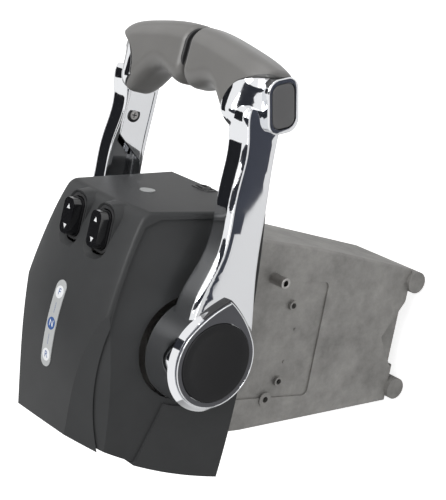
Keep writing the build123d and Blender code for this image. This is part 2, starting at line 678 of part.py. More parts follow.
# Block in the end wall that holds the cable sheaths
with BuildPart() as cable_anchor:
    with BuildSketch(Plane.XY.offset(-CHASSIS_DEPTH)):
        with Locations((0, sum(WINDOW_Y) / 2)):
            Rectangle(2 * (WINDOW_HALF_WIDTH - WINDOW_GAP), WINDOW_Y[1] - WINDOW_Y[0] - 2 * WINDOW_GAP)
    extrude(amount=CHASSIS_WALL + ANCHOR_DEPTH)
    with BuildSketch(Plane.XY.offset(-CHASSIS_DEPTH + CHASSIS_WALL)):
        with Locations((0, sum(WINDOW_Y) / 2)):
            Rectangle(2 * (WINDOW_HALF_WIDTH + ANCHOR_FLANGE), WINDOW_Y[1] - WINDOW_Y[0] + 2 * ANCHOR_FLANGE)
    extrude(amount=ANCHOR_FLANGE)
    with BuildSketch(Plane.XY.offset(-CHASSIS_DEPTH)):
        with Locations(*CABLE_PLACES):
            Circle(CABLE_BORE_RADIUS)
    extrude(amount=CHASSIS_WALL + ANCHOR_DEPTH, mode=Mode.SUBTRACT)

# Mounting plate and its gasket
with BuildSketch() as plate_outline:
    add(base_outline(COVER_WALL + PLATE_GAP + PLATE_TOP * DRAFT_SLOPE))
    with Locations((0, -1.75)):
        Rectangle(
            2 * (CHASSIS_HALF_WIDTH + PLATE_GAP),
            2 * (73.75 + PLATE_GAP),
            mode=Mode.SUBTRACT,
        )
    with GridLocations(2 * CONSOLE_BOLT_X, 2 * CONSOLE_BOLT_Y, 2, 2):
        Circle(CONSOLE_BOLT_RADIUS, mode=Mode.SUBTRACT)
    with GridLocations(2 * COVER_POST_X, 2 * COVER_POST_Y, 2, 2):
        Circle(COVER_SCREW_RADIUS, mode=Mode.SUBTRACT)

with BuildPart() as mounting_plate:
    with BuildSketch(Plane.XY.offset(GASKET_THICKNESS)):
        add(plate_outline.sketch)
        with GridLocations(2 * (CHASSIS_HALF_WIDTH + EAR_REACH / 2), 2 * EAR_Y, 2, 2):
            Circle(EAR_SCREW_RADIUS, mode=Mode.SUBTRACT)
    extrude(amount=PLATE_THICKNESS)

with BuildPart() as gasket:
    with BuildSketch():
        add(plate_outline.sketch)
    extrude(amount=GASKET_THICKNESS)


def tooth_half_angle(teeth, radius):
    """Half the angle of an involute tooth at a radius, in degrees."""
    pitch_radius = GEAR_MODULE * teeth / 2
    base_radius = pitch_radius * cos(radians(PRESSURE_ANGLE))
    slope = sqrt(max((radius / base_radius) ** 2 - 1, 0))
    pitch_slope = tan(radians(PRESSURE_ANGLE))
    involute = slope - atan(slope) - pitch_slope + radians(PRESSURE_ANGLE)
    return degrees(pi / (2 * teeth) - TOOTH_BACKLASH / (4 * pitch_radius) - involute)


def tooth_points(teeth, middles):
    """Corners of straight-flanked teeth at the given middle angles."""
    root = GEAR_MODULE * (teeth / 2 - 1.25)
    tip = GEAR_MODULE * (teeth / 2 + 1)
    corners = []
    for middle in middles:
        for radius, side in ((root, -1), (tip, -1), (tip, 1), (root, 1)):
            angle = radians(middle + side * tooth_half_angle(teeth, radius))
            corners.append((radius * cos(angle), radius * sin(angle)))
    return corners


with BuildPart() as drive_gear:
    with BuildSketch(side_plane(DRIVE_GEAR_INNER_X, 0, PIVOT_HEIGHT)):
        with BuildLine():
            middles = [DRIVE_PITCH * (count + 0.5) for count in range(DRIVE_TEETH)]
            Polyline(*tooth_points(DRIVE_TEETH, middles), close=True)
        make_face()
        Circle(SHAFT_RADIUS, mode=Mode.SUBTRACT)
    extrude(amount=DETENT_X - DRIVE_GEAR_INNER_X)


def gear_arm(bearing, plate_x, pin_side):
    """A toothed sector that turns at half the lever's speed and pulls a cable."""
    centre = (GEAR_CENTRES * cos(radians(bearing)), PIVOT_HEIGHT + GEAR_CENTRES * sin(radians(bearing)))
    first = bearing + 180 - ARM_PITCH / 2
    middles = [first + ARM_PITCH * count for count in range(13)]
    arm_angle = -90 + ARM_TRAVEL / 2
    eye = (ARM_LENGTH * cos(radians(arm_angle)), ARM_LENGTH * sin(radians(arm_angle)))
    middle = middles[6]
    with BuildPart() as arm:
        with BuildSketch(side_plane(plate_x, *centre)):
            with BuildLine():
                Polyline((0, 0), *tooth_points(ARM_TEETH, middles), close=True)
            make_face()
            with PolarLocations(22, 3, start_angle=middle - 28, angular_range=84, endpoint=False):
                Circle(5, mode=Mode.SUBTRACT)
            with Locations((eye[0] / 2, eye[1] / 2)):
                Rectangle(ARM_LENGTH, 9, rotation=arm_angle)
            with Locations(eye):
                Circle(ARM_EYE_RADIUS)
        extrude(amount=ARM_THICKNESS)
        with BuildSketch(side_plane(CENTRE_PLATE_X + END_PLAY, *centre)):
            Circle(ARM_HUB_RADIUS)
        extrude(amount=WALL_INNER_X - CENTRE_PLATE_X - 2 * END_PLAY)
        with BuildSketch(side_plane(CENTRE_PLATE_X, *centre)):
            Circle(ARM_PIN_RADIUS + RUNNING_FIT)
        extrude(amount=WALL_INNER_X, mode=Mode.SUBTRACT)
        pin_x = plate_x + ARM_THICKNESS if pin_side > 0 else plate_x
        with BuildSketch(side_plane(pin_x, centre[0] + eye[0], centre[1] + eye[1])):
            Circle(CABLE_PIN_RADIUS)
        extrude(amount=pin_side * CABLE_PIN_PROUD)
    return arm.part


def arm_pin(bearing):
    """The fixed pin that a gear arm turns on."""
    centre = (GEAR_CENTRES * cos(radians(bearing)), PIVOT_HEIGHT + GEAR_CENTRES * sin(radians(bearing)))
    with BuildPart() as pin:
        with BuildSketch(side_plane(CENTRE_PLATE_X - ARM_PIN_SEAT, *centre)):
            Circle(ARM_PIN_RADIUS)
        extrude(amount=WALL_INNER_X - CENTRE_PLATE_X + 2 * ARM_PIN_SEAT)
    return pin.part


with BuildPart() as detent_plate:
    with BuildSketch(side_plane(DETENT_X, 0, PIVOT_HEIGHT)):
        Circle(DETENT_RADIUS)
        Circle(SHAFT_RADIUS, mode=Mode.SUBTRACT)
        for step in (-DETENT_STEP, 0, DETENT_STEP):
            angle = radians(90 - NEUTRAL_TRAVEL + step)
            with Locations((DETENT_RADIUS * cos(angle), DETENT_RADIUS * sin(angle))):
                Circle(DETENT_NOTCH_RADIUS, mode=Mode.SUBTRACT)
    extrude(amount=DETENT_THICKNESS)

with BuildPart() as detent_spring:
    with BuildSketch(side_plane(DETENT_X + MOVING_GAP, 0, spring_z)):
        Circle(SPRING_BUMP_RADIUS)
        with Locations((-SPRING_REACH / 2, SPRING_BUMP_RADIUS - SPRING_THICKNESS / 2)):
            Rectangle(SPRING_REACH, SPRING_THICKNESS)
        with Locations((-SPRING_REACH, 0)):
            Circle(SPRING_PEG_RADIUS + 1.5)
            Circle(SPRING_PEG_RADIUS, mode=Mode.SUBTRACT)
    extrude(amount=DETENT_THICKNESS - MOVING_GAP)

with BuildPart() as neutral_switch:
    with BuildSketch(side_plane(WALL_INNER_X - SWITCH_WIDTH, *SWITCH_PLACE)):
        RectangleRounded(*SWITCH_SIZE, 1)
    extrude(amount=SWITCH_WIDTH)
    with BuildSketch(side_plane(DETENT_X + MOVING_GAP, *SWITCH_PLACE)):
        with Locations((-SWITCH_SIZE[0] / 2, 0)):
            SlotOverall(*SWITCH_PLUNGER)
    extrude(amount=DETENT_THICKNESS - MOVING_GAP)

with BuildPart() as shaft:
    with BuildSketch(side_plane(SHAFT_INNER_X, 0, PIVOT_HEIGHT)):
        Circle(SHAFT_RADIUS)
    extrude(amount=SHAFT_END_X - SHAFT_INNER_X)
    with BuildSketch(side_plane(SHAFT_END_X, 0, PIVOT_HEIGHT)):
        Circle(SHAFT_THREAD_RADIUS)
    extrude(amount=-HUB_BOLT_LENGTH, mode=Mode.SUBTRACT)

with BuildPart() as hub_bush:
    with BuildSketch(side_plane(WALL_INNER_X, 0, PIVOT_HEIGHT)):
        Circle(BUSH_RADIUS)
        Circle(SHAFT_RADIUS + RUNNING_FIT, mode=Mode.SUBTRACT)
    extrude(amount=CHASSIS_WALL + WALL_BOSS_HEIGHT)
    with BuildSketch(side_plane(CHASSIS_HALF_WIDTH + WALL_BOSS_HEIGHT, 0, PIVOT_HEIGHT)):
        Circle(BUSH_RADIUS + BUSH_FLANGE)
        Circle(SHAFT_RADIUS + RUNNING_FIT, mode=Mode.SUBTRACT)
    extrude(amount=BUSH_FLANGE_THICKNESS)


def arm_plane(along):
    """A plane across the lever arm, with X to starboard and Y across the arm."""
    return Plane(origin=Vector(0, 0, PIVOT_HEIGHT) + ALONG * along, x_dir=(1, 0, 0), z_dir=-ALONG)


def arm_section(along):
    """Inner x, outer x, lower edge and upper edge of the lever arm at a distance from the pivot."""
    for first, second in zip(ARM_SECTIONS, ARM_SECTIONS[1:]):
        if along <= second[0]:
            share = (along - first[0]) / (second[0] - first[0])
            return [a + (b - a) * share for a, b in zip(first[1:], second[1:])]


def arm_form(stations, inner_shift, depth, inset, corner):
    """A plain form inside the lever arm, through the stations."""
    with BuildPart() as form:
        for along in stations:
            inner, outer, low, high = arm_section(along)
            inner += inner_shift
            outer = inner + depth
            with BuildSketch(arm_plane(along)):
                with Locations(((inner + outer) / 2, (low + high) / 2)):
                    RectangleRounded(outer - inner, high - low - 2 * inset, corner)
        loft(ruled=True)
    return form.part


def teardrop(x, grow):
    """The teardrop outline around the hub button, grown outwards."""
    radius = TEARDROP_RADIUS + grow
    tip = TEARDROP_TIP + grow * TEARDROP_TIP / TEARDROP_RADIUS
    shoulder = radians(TEARDROP_SHOULDER)
    rise = radius * sin(shoulder)
    reach = tip - radius * cos(shoulder)
    turn = atan(rise / reach) - (pi / 2 - shoulder)
    bulge = sqrt(rise**2 + reach**2) / 2 * tan(turn / 2)
    left = (radius * cos(shoulder), rise)
    right = (radius * cos(shoulder), -rise)
    with BuildSketch(lever_plane(x)) as outline:
        with BuildLine():
            SagittaArc(left, (tip, 0), bulge)
            SagittaArc((tip, 0), right, bulge)
            ThreePointArc(right, (-radius, 0), left)
        make_face()
    return outline.sketch


pod_plane = lever_plane(POD_OUTER_X, *POD_CENTRE, POD_TILT)
with BuildPart() as pod_form:
    for x, length, width, along, across, corner, tilt in POD_SECTIONS:
        with BuildSketch(lever_plane(x, along, across, tilt)):
            RectangleRounded(length, width, corner)
    loft()
    with BuildSketch(pod_plane):
        RectangleRounded(BEZEL_LENGTH, BEZEL_WIDTH, BEZEL_CORNER)
    extrude(amount=-POD_RIM)

# The arm is drafted: its lower side spreads towards the outer face
with BuildPart() as arm_body:
    for along, inner, outer, low, high in ARM_SECTIONS:
        with BuildSketch(arm_plane(along)):
            Polygon((inner, low), (outer, low - ARM_DRAFT), (outer, high), (inner, high), align=None)
            fillet(vertices().group_by(Axis.X)[-1], ARM_OUTER_CORNER)
            fillet(vertices().group_by(Axis.X)[0], ARM_INNER_CORNER)
    loft()


def head_region(gap):
    """Everything outboard of the line between the head and the grip, moved inboard by the gap."""
    origin = Vector(0, 0, PIVOT_HEIGHT) - ACROSS * HEAD_LENGTH
    line = [(x - gap, along + gap) for x, along in HEAD_LINE]
    low = ARM_SECTIONS[-3][0]
    with BuildPart() as region:
        with BuildSketch(Plane(origin=origin, x_dir=(1, 0, 0), z_dir=ACROSS)):
            with BuildLine():
                Line(line[0], line[1])
                ThreePointArc(*line[1:4])
                Polyline(line[3], line[4], (line[4][0], low), (line[0][0], low), line[0])
            make_face()
        extrude(amount=2 * HEAD_LENGTH)
    return region.part


with BuildPart() as arm_and_head:
    add(pod_form.part)
    add(head_region(0), mode=Mode.INTERSECT)
    add(arm_body.part)

# Tenon that carries the grip
with BuildPart() as core_form:
    for x, along, across in CORE_STATIONS:
        with BuildSketch(lever_plane(x, along, across)):
            RectangleRounded(CORE_LENGTH, CORE_WIDTH, 3)
    loft(ruled=True)


def lever_insert_form(gap):
    """The chrome plate that closes the outer part of the channel in the arm."""
    with BuildPart() as form:
        stations = [along for along in middle_stations if along > INSERT_START]
        stations = (INSERT_START - 6, *stations, CHANNEL_END - gap)
        add(arm_form(stations, 0, INSERT_THICKNESS, CHANNEL_EDGE + gap, 1.0))
        low = arm_section(INSERT_CURVE)[2]
        high = arm_section(INSERT_CURVE)[3]
        with BuildSketch(lever_plane(CHANNEL_FLOOR_X)):
            with BuildLine():
                Line((CHANNEL_END, low - 9), (CHANNEL_END, high + 9))
                Line((CHANNEL_END, high + 9), (INSERT_CURVE + 8, high + 9))
                ThreePointArc(
                    (INSERT_CURVE + 8, high + 9),
                    (INSERT_CURVE - 9 + gap, (low + high) / 2 + 1),
                    (INSERT_START - 6, low - 9),
                )
                Line((INSERT_START - 6, low - 9), (CHANNEL_END, low - 9))
            make_face()
        extrude(amount=-2 * HUB_BOLT_LENGTH, mode=Mode.INTERSECT)
    return form.part


middle_stations = [section[0] for section in ARM_SECTIONS if CHANNEL_START < section[0] < CHANNEL_END]

with BuildPart() as lever:
    with BuildSketch(lever_plane(HUB_INNER_X)):
        Circle(HUB_RADIUS)
    extrude(amount=HUB_OUTER_X - HUB_INNER_X)
    chamfer(lever.faces().sort_by(Axis.X)[-1].edges(), HUB_CHAMFER)
    add(arm_and_head.part)
    # The hub runs out into a point under the teardrop
    extrude(teardrop(HUB_OUTER_X, TIP_LAND), amount=-TIP_LAND_DEPTH)
    add(core_form.part)
    # Open channel in the inner side of the arm
    add(
        arm_form((CHANNEL_START, *middle_stations, CHANNEL_END), -2, CHANNEL_DEPTH + 2, CHANNEL_EDGE, 2.0),
        mode=Mode.SUBTRACT,
    )
    with BuildSketch(lever_plane(CHANNEL_FLOOR_X, *INSERT_SCREW)):
        Circle(SCREW_BOSS_RADIUS)
    extrude(amount=arm_section(INSERT_SCREW[0])[0] + 1 - CHANNEL_FLOOR_X)
    add(lever_insert_form(0), mode=Mode.SUBTRACT)
    with BuildSketch(lever_plane(CHANNEL_FLOOR_X, *INSERT_SCREW)):
        Circle(INSERT_SCREW_RADIUS)
    extrude(amount=arm_section(INSERT_SCREW[0])[0] - CHANNEL_FLOOR_X, mode=Mode.SUBTRACT)
    # Seat for the teardrop, pocket for the button, bores for the shaft and its bolt
    extrude(teardrop(HUB_OUTER_X, 0), amount=-TEARDROP_SEAT, mode=Mode.SUBTRACT)
    with BuildSketch(lever_plane(HUB_POCKET_X)):
        Circle(BUTTON_BORE)
    extrude(amount=HUB_OUTER_X - HUB_POCKET_X, mode=Mode.SUBTRACT)
    with BuildSketch(lever_plane(HUB_INNER_X)):
        Circle(SHAFT_RADIUS)
    extrude(amount=SHAFT_END_X - HUB_INNER_X, mode=Mode.SUBTRACT)
    with BuildSketch(lever_plane(SHAFT_END_X)):
        Circle(SHAFT_THREAD_RADIUS)
    extrude(amount=HUB_POCKET_X - SHAFT_END_X, mode=Mode.SUBTRACT)

with BuildPart() as starboard_lever:
    add(lever.part)
    # Pocket for the trim switch in the lever head
    with BuildSketch(pod_plane):
        RectangleRounded(
            TRIM_PAD_LENGTH + 2 * TRIM_PAD_GAP,
            TRIM_PAD_WIDTH + 2 * TRIM_PAD_GAP,
            TRIM_PAD_CORNER + TRIM_PAD_GAP,
        )
    extrude(amount=-TRIM_POCKET_DEPTH, mode=Mode.SUBTRACT)

with BuildPart() as grip:
    for x, bottom, top, low, high in GRIP_SECTIONS:
        with BuildSketch(lever_plane(x, (bottom + top) / 2, (low + high) / 2)):
            RectangleRounded(top - bottom, high - low, GRIP_CORNER)
    loft()
    fillet(grip.faces().sort_by(Axis.X)[0].edges(), 5)
    fillet(grip.faces().sort_by(Axis.X)[-1].edges(), 3)
    add(head_region(HEAD_GAP), mode=Mode.SUBTRACT)
    add(arm_body.part, mode=Mode.SUBTRACT)
    add(lever_insert_form(0).moved(Location((-HEAD_GAP, 0, 0))), mode=Mode.SUBTRACT)
    add(core_form.part, mode=Mode.SUBTRACT)
    with BuildSketch(pod_plane):
        RectangleRounded(BEZEL_LENGTH + 2 * PIECE_GAP, BEZEL_WIDTH + 2 * PIECE_GAP, BEZEL_CORNER)
    extrude(amount=2 * BEZEL_HEIGHT, mode=Mode.SUBTRACT)
    add(grip.solids().sort_by(SortBy.VOLUME)[-1], mode=Mode.REPLACE)

with BuildPart() as trim_bezel:
    with BuildSketch(pod_plane):
        RectangleRounded(BEZEL_LENGTH, BEZEL_WIDTH, BEZEL_CORNER)
    extrude(amount=BEZEL_HEIGHT)
    fillet(trim_bezel.faces().sort_by(Axis.X)[-1].edges(), BEZEL_EDGE)
    with BuildSketch(pod_plane):
        RectangleRounded(
            TRIM_PAD_LENGTH + 2 * TRIM_PAD_GAP,
            TRIM_PAD_WIDTH + 2 * TRIM_PAD_GAP,
            TRIM_PAD_CORNER + TRIM_PAD_GAP,
        )
    extrude(amount=BEZEL_HEIGHT, mode=Mode.SUBTRACT)

with BuildPart() as trim_pad:
    with BuildSketch(pod_plane.offset(BEZEL_HEIGHT - TRIM_PAD_DEPTH)):
        RectangleRounded(TRIM_PAD_LENGTH, TRIM_PAD_WIDTH, TRIM_PAD_CORNER)
    extrude(amount=TRIM_PAD_DEPTH)
    fillet(trim_pad.faces().sort_by(Axis.X)[-1].edges(), 1.0)

with BuildPart() as trim_switch:
    with BuildSketch(pod_plane.offset(-TRIM_POCKET_DEPTH)):
        RectangleRounded(TRIM_PAD_LENGTH - 2, TRIM_PAD_WIDTH, TRIM_PAD_CORNER - 1)
    extrude(amount=TRIM_BASE_HEIGHT)
    with BuildSketch(pod_plane.offset(-TRIM_POCKET_DEPTH)):
        Rectangle(3, TRIM_PAD_WIDTH - 2 * TRIM_PAD_GAP)
    extrude(amount=TRIM_POCKET_DEPTH + BEZEL_HEIGHT - TRIM_PAD_DEPTH - MOVING_GAP)

# The port lever carries a plain cover where the trim switch would be
with BuildPart() as port_blank:
    with BuildSketch(pod_plane):
        RectangleRounded(BEZEL_LENGTH, BEZEL_WIDTH, BEZEL_CORNER)
    extrude(amount=BEZEL_HEIGHT)
    fillet(port_blank.faces().sort_by(Axis.X)[-1].edges(), BEZEL_EDGE)
    mirror(about=Plane.YZ, mode=Mode.REPLACE)

with BuildPart() as hub_bezel:
    extrude(teardrop(HUB_OUTER_X - TEARDROP_SEAT, 0), amount=TEARDROP_SEAT + TEARDROP_PROUD)
    with BuildSketch(lever_plane(HUB_OUTER_X - TEARDROP_SEAT)):
        Circle(BUTTON_RADIUS + MOVING_GAP)
    extrude(amount=TEARDROP_SEAT + TEARDROP_PROUD, mode=Mode.SUBTRACT)

with BuildPart() as throttle_button:
    with BuildSketch(lever_plane(BUTTON_BACK_X)):
        Circle(BUTTON_RADIUS)
    extrude(amount=BUTTON_THICKNESS)
    fillet(throttle_button.faces().sort_by(Axis.X)[-1].edges(), 1.0)
    with BuildSketch(lever_plane(BUTTON_BACK_X)):
        Circle(BUTTON_RIM_RADIUS)
    extrude(amount=BUTTON_THICKNESS - 2 * BUTTON_DISH_DEPTH, mode=Mode.SUBTRACT)
    dish = BUTTON_DISH_RADIUS**2 / (2 * BUTTON_DISH_DEPTH) + BUTTON_DISH_DEPTH / 2
    with Locations((BUTTON_FACE_X - BUTTON_DISH_DEPTH + dish, 0, PIVOT_HEIGHT)):
        Sphere(dish, mode=Mode.SUBTRACT)

with BuildPart() as button_spring:
    with BuildSketch(Plane.XY):
        with BuildLine():
            Polyline(
                (HUB_POCKET_X, SPRING_OUTER),
                (HUB_POCKET_X + DISC_SPRING_THICKNESS, SPRING_OUTER),
                (BUTTON_BACK_X, SPRING_INNER),
                (BUTTON_BACK_X - DISC_SPRING_THICKNESS, SPRING_INNER),
                close=True,
            )
        make_face()
    revolve(axis=Axis.X)
button_spring.part = button_spring.part.moved(Location((0, 0, PIVOT_HEIGHT)))

with BuildPart() as hub_bolt:
    with BuildSketch(lever_plane(HUB_POCKET_X)):
        RegularPolygon(HUB_BOLT_HEAD_RADIUS, 6)
    extrude(amount=HUB_BOLT_HEAD_HEIGHT)
    with BuildSketch(lever_plane(HUB_POCKET_X)):
        Circle(SHAFT_THREAD_RADIUS - 0.05)
    extrude(amount=-HUB_BOLT_LENGTH)

screw_seat_x = arm_section(INSERT_SCREW[0])[0] + INSERT_HEAD_SUNK
with BuildPart() as lever_insert:
    add(lever_insert_form(PIECE_GAP))
    with BuildSketch(lever_plane(screw_seat_x, *INSERT_SCREW)):
        Circle(INSERT_HEAD_RADIUS + PIECE_GAP)
    extrude(amount=-INSERT_THICKNESS, mode=Mode.SUBTRACT)
    with BuildSketch(lever_plane(CHANNEL_FLOOR_X, *INSERT_SCREW)):
        Circle(INSERT_SCREW_RADIUS)
    extrude(amount=-2 * HUB_BOLT_LENGTH, mode=Mode.SUBTRACT)

with BuildPart() as insert_screw:
    with BuildSketch(lever_plane(screw_seat_x, *INSERT_SCREW)):
        Circle(INSERT_SCREW_RADIUS - 0.05)
    extrude(amount=CHANNEL_FLOOR_X - screw_seat_x)
    with BuildSketch(lever_plane(screw_seat_x, *INSERT_SCREW)):
        Circle(INSERT_HEAD_RADIUS)
    extrude(amount=-INSERT_HEAD_HEIGHT)

# Rocker switches on the cover
with BuildPart() as rocker_frame:
    with BuildSketch(rocker_planes[1].offset(-SCOOP_DEPTH)):
        RectangleRounded(ROCKER_WIDTH + SCOOP_MARGIN - 1, ROCKER_LENGTH + SCOOP_MARGIN - 1, ROCKER_CORNER)
    extrude(amount=ROCKER_FRAME_WALL)
    with BuildSketch(rocker_planes[1].offset(-ROCKER_SWITCH_DEPTH)):
        RectangleRounded(ROCKER_WIDTH - 2 * PIECE_GAP, ROCKER_LENGTH - 2 * PIECE_GAP, ROCKER_CORNER - PIECE_GAP)
    extrude(amount=ROCKER_SWITCH_DEPTH - SCOOP_DEPTH)
    with BuildSketch(rocker_planes[1].offset(ROCKER_TUB_FLOOR - ROCKER_SWITCH_DEPTH)):
        RectangleRounded(
            ROCKER_WIDTH - 2 * ROCKER_FRAME_WALL,
            ROCKER_LENGTH - 2 * ROCKER_FRAME_WALL,
            ROCKER_CORNER - ROCKER_FRAME_WALL,
        )
    extrude(amount=ROCKER_SWITCH_DEPTH, mode=Mode.SUBTRACT)
    # Ridge that the paddle rocks on
    with BuildSketch(rocker_planes[1].offset(ROCKER_TUB_FLOOR - ROCKER_SWITCH_DEPTH)):
        Rectangle(ROCKER_WIDTH - ROCKER_FRAME_WALL, 2.5)
    extrude(amount=ROCKER_SWITCH_DEPTH - ROCKER_TUB_FLOOR - ROCKER_PADDLE_DEPTH - MOVING_GAP)

with BuildPart() as rocker:
    half_length = ROCKER_LENGTH / 2 - ROCKER_FRAME_WALL - ROCKER_GAP
    half_width = ROCKER_WIDTH / 2 - ROCKER_FRAME_WALL - ROCKER_GAP
    with BuildSketch(rocker_planes[1].offset(-ROCKER_PADDLE_DEPTH)):
        RectangleRounded(2 * half_width, 2 * half_length, ROCKER_CORNER - ROCKER_FRAME_WALL - ROCKER_GAP)
    extrude(amount=ROCKER_PADDLE_DEPTH)
    with BuildSketch(rocker_planes[1]):
        RectangleRounded(2 * half_width, 2 * half_length, ROCKER_CORNER - ROCKER_FRAME_WALL - ROCKER_GAP)
    extrude(amount=ROCKER_PROUD, taper=ROCKER_DRAFT)
    frame = rocker_planes[1]
    section = Plane(origin=frame.origin, x_dir=frame.y_dir, z_dir=-frame.x_dir)
    with BuildSketch(section):
        with BuildLine():
            end = half_length + 1
            Line((-end, -ROCKER_PADDLE_DEPTH), (end, -ROCKER_PADDLE_DEPTH))
            Line((end, -ROCKER_PADDLE_DEPTH), (end, ROCKER_END_PROUD))
            ThreePointArc((end, ROCKER_END_PROUD), (0, ROCKER_PROUD), (-end, ROCKER_END_PROUD))
            Line((-end, ROCKER_END_PROUD), (-end, -ROCKER_PADDLE_DEPTH))
        make_face()
    extrude(amount=ROCKER_WIDTH, both=True, mode=Mode.INTERSECT)
    top = rocker.faces().filter_by(GeomType.CYLINDER).sort_by(SortBy.AREA)[-1]
    fillet(top.edges(), ROCKER_EDGE)

# Gear letter strip on the crown
with BuildPart() as label_strip:
    add(label_form)
    with BuildSketch():
        RectangleRounded(LABEL_WIDTH, LABEL_LENGTH, LABEL_WIDTH / 2 - 0.1)
    extrude(amount=PROFILE_TOP, mode=Mode.INTERSECT)
    add(outer_form, mode=Mode.SUBTRACT)

with BuildPart() as access_plug:
    with BuildSketch(front_plane):
        with Locations((0, PLUG_Z)):
            Circle(PLUG_RADIUS)
    extrude(amount=PLUG_PROUD)
    with BuildSketch(front_plane):
        with Locations((0, PLUG_Z)):
            Circle(PLUG_RADIUS - 1)
    extrude(amount=-2 * COVER_WALL)

# Lip of the cover's release catch
with BuildPart() as release_catch:
    with BuildSketch(front_plane):
        with BuildLine():
            middle = TAB_Z
            Polyline(
                (-TAB_WIDTH / 2, middle),
                (-TAB_WIDTH / 4, middle - TAB_HEIGHT / 2),
                (TAB_WIDTH / 4, middle - TAB_HEIGHT / 2),
                (TAB_WIDTH / 2, middle),
                (TAB_WIDTH / 4, middle + TAB_HEIGHT / 2),
                (-TAB_WIDTH / 4, middle + TAB_HEIGHT / 2),
                close=True,
            )
        make_face()
    extrude(amount=TAB_PROUD, taper=15)
    with BuildSketch(front_plane.offset(TAB_PROUD)):
        with Locations((0, TAB_Z)):
            Rectangle(TAB_WIDTH / 2, TAB_HEIGHT / 3)
    extrude(amount=-TAB_PROUD + 0.4, mode=Mode.SUBTRACT)

single_parts = {
    "cover": cover.part,
    "mounting_plate": mounting_plate.part,
    "gasket": gasket.part,
    "starboard_chassis": starboard_chassis.part,
    "port_chassis": port_chassis.part,
    "standoff": standoff.part,
    "centre_plate": centre_plate.part,
    "centre_bush": centre_bush.part,
    "cable_anchor": cable_anchor.part,
    "label_strip": label_strip.part,
    "access_plug": access_plug.part,
    "release_catch": release_catch.part,
    "starboard_lever": starboard_lever.part,
    "port_lever": mirror(lever.part, about=Plane.YZ),
    "trim_bezel": trim_bezel.part,
    "trim_pad": trim_pad.part,
    "trim_switch": trim_switch.part,
    "port_blank": port_blank.part,
}
paired_parts = {
    "rocker_frame": rocker_frame.part,
    "rocker": rocker.part,
    "hub_bush": hub_bush.part,
    "shaft": shaft.part,
    "drive_gear": drive_gear.part,
    "detent_plate": detent_plate.part,
    "detent_spring": detent_spring.part,
    "neutral_switch": neutral_switch.part,
    "throttle_arm": gear_arm(THROTTLE_BEARING, THROTTLE_PLATE_X, -1),
    "shift_arm": gear_arm(SHIFT_BEARING, SHIFT_PLATE_X, 1),
    "throttle_arm_pin": arm_pin(THROTTLE_BEARING),
    "shift_arm_pin": arm_pin(SHIFT_BEARING),
    "grip": grip.part,
    "hub_bezel": hub_bezel.part,
    "throttle_button": throttle_button.part,
    "button_spring": button_spring.part,
    "hub_bolt": hub_bolt.part,
    "lever_insert": lever_insert.part,
    "insert_screw": insert_screw.part,
}
parts = dict(single_parts)
for name, shape in paired_parts.items():
    parts["starboard_" + name] = shape
    parts["port_" + name] = mirror(shape, about=Plane.YZ)

os.makedirs("parts", exist_ok=True)
for name, shape in parts.items():
    shape.label = name
    export_step(shape, "parts/" + name + ".step")
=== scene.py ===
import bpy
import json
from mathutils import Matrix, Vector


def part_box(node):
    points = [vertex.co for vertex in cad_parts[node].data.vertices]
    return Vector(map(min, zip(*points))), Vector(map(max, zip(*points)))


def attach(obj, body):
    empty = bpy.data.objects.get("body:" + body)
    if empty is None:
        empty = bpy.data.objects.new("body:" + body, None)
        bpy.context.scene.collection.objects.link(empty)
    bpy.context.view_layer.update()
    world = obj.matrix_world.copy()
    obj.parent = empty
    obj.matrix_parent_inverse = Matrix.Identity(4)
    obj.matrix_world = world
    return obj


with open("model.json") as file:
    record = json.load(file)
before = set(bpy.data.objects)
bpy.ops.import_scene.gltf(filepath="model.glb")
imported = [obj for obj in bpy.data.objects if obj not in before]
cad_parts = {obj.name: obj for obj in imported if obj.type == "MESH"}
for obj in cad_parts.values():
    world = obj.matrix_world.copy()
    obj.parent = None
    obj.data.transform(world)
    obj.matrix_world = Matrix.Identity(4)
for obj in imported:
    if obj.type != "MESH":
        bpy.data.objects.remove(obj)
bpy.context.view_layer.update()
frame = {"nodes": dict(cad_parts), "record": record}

import json
import math

import bmesh
import bpy
import numpy as np
from mathutils import Matrix, Vector
from mathutils.bvhtree import BVHTree

bl_info = {
    "name": "Boat Throttle Control",
    "version": (1, 0, 0),
    "blender": (4, 5, 0),
    "location": "View3D > Sidebar > Throttle",
    "description": "Finishes and small pieces for a twin lever throttle control",
    "category": "Object",
}

# Sizes of the pieces are in millimetres, and those of the studio in metres
MM = 0.001
SIDES = {"starboard": 1.0, "port": -1.0}

# Lever frame: distances along the arm, across it and out to the side, as in the solids
PIVOT_HEIGHT = 45.0
LEVER_ANGLE = math.radians(-6.0)
HUB_FACE_X = 85.5
TEARDROP_FACE_X = 87.0
TEARDROP_RADIUS = 31.0
TEARDROP_TIP = 41.0
TEARDROP_SHOULDER = math.radians(55.0)

# The bead round the teardrop, sunk a little into its face
BEAD_RADIUS = 0.45
BEAD_INSET = 0.15

# The chevron of painted shade: its inner and outer edge off the teardrop, where along the arm
# it starts, and how far it goes into the hub's face and stands out of it
CHEVRON_NEAR = 0.5
CHEVRON_FAR = 1.32
CHEVRON_START = 27.0
CHEVRON_DEPTH = 4.5
CHEVRON_PROUD = 0.05

# The grips' inner ends: height along and across of the middle, half sides and corner radius
GRIP_END_MIDDLE = (189.15, 9)
GRIP_END_HALF = (17.65, 16)
GRIP_END_CORNER = 13
GRIP_END_X = 1.8

# Each grip end's plate, painted shade in the groove between the grips: how far its outline stays
# inside the grip's, and its rings, each with its distance from the grip's end and its share of
# that outline
PLATE_INSET = 1.5
PLATE_RINGS = ((0.02, 0.94), (0.3, 0.99), (0.9, 1.0), (2.4, 1.0))

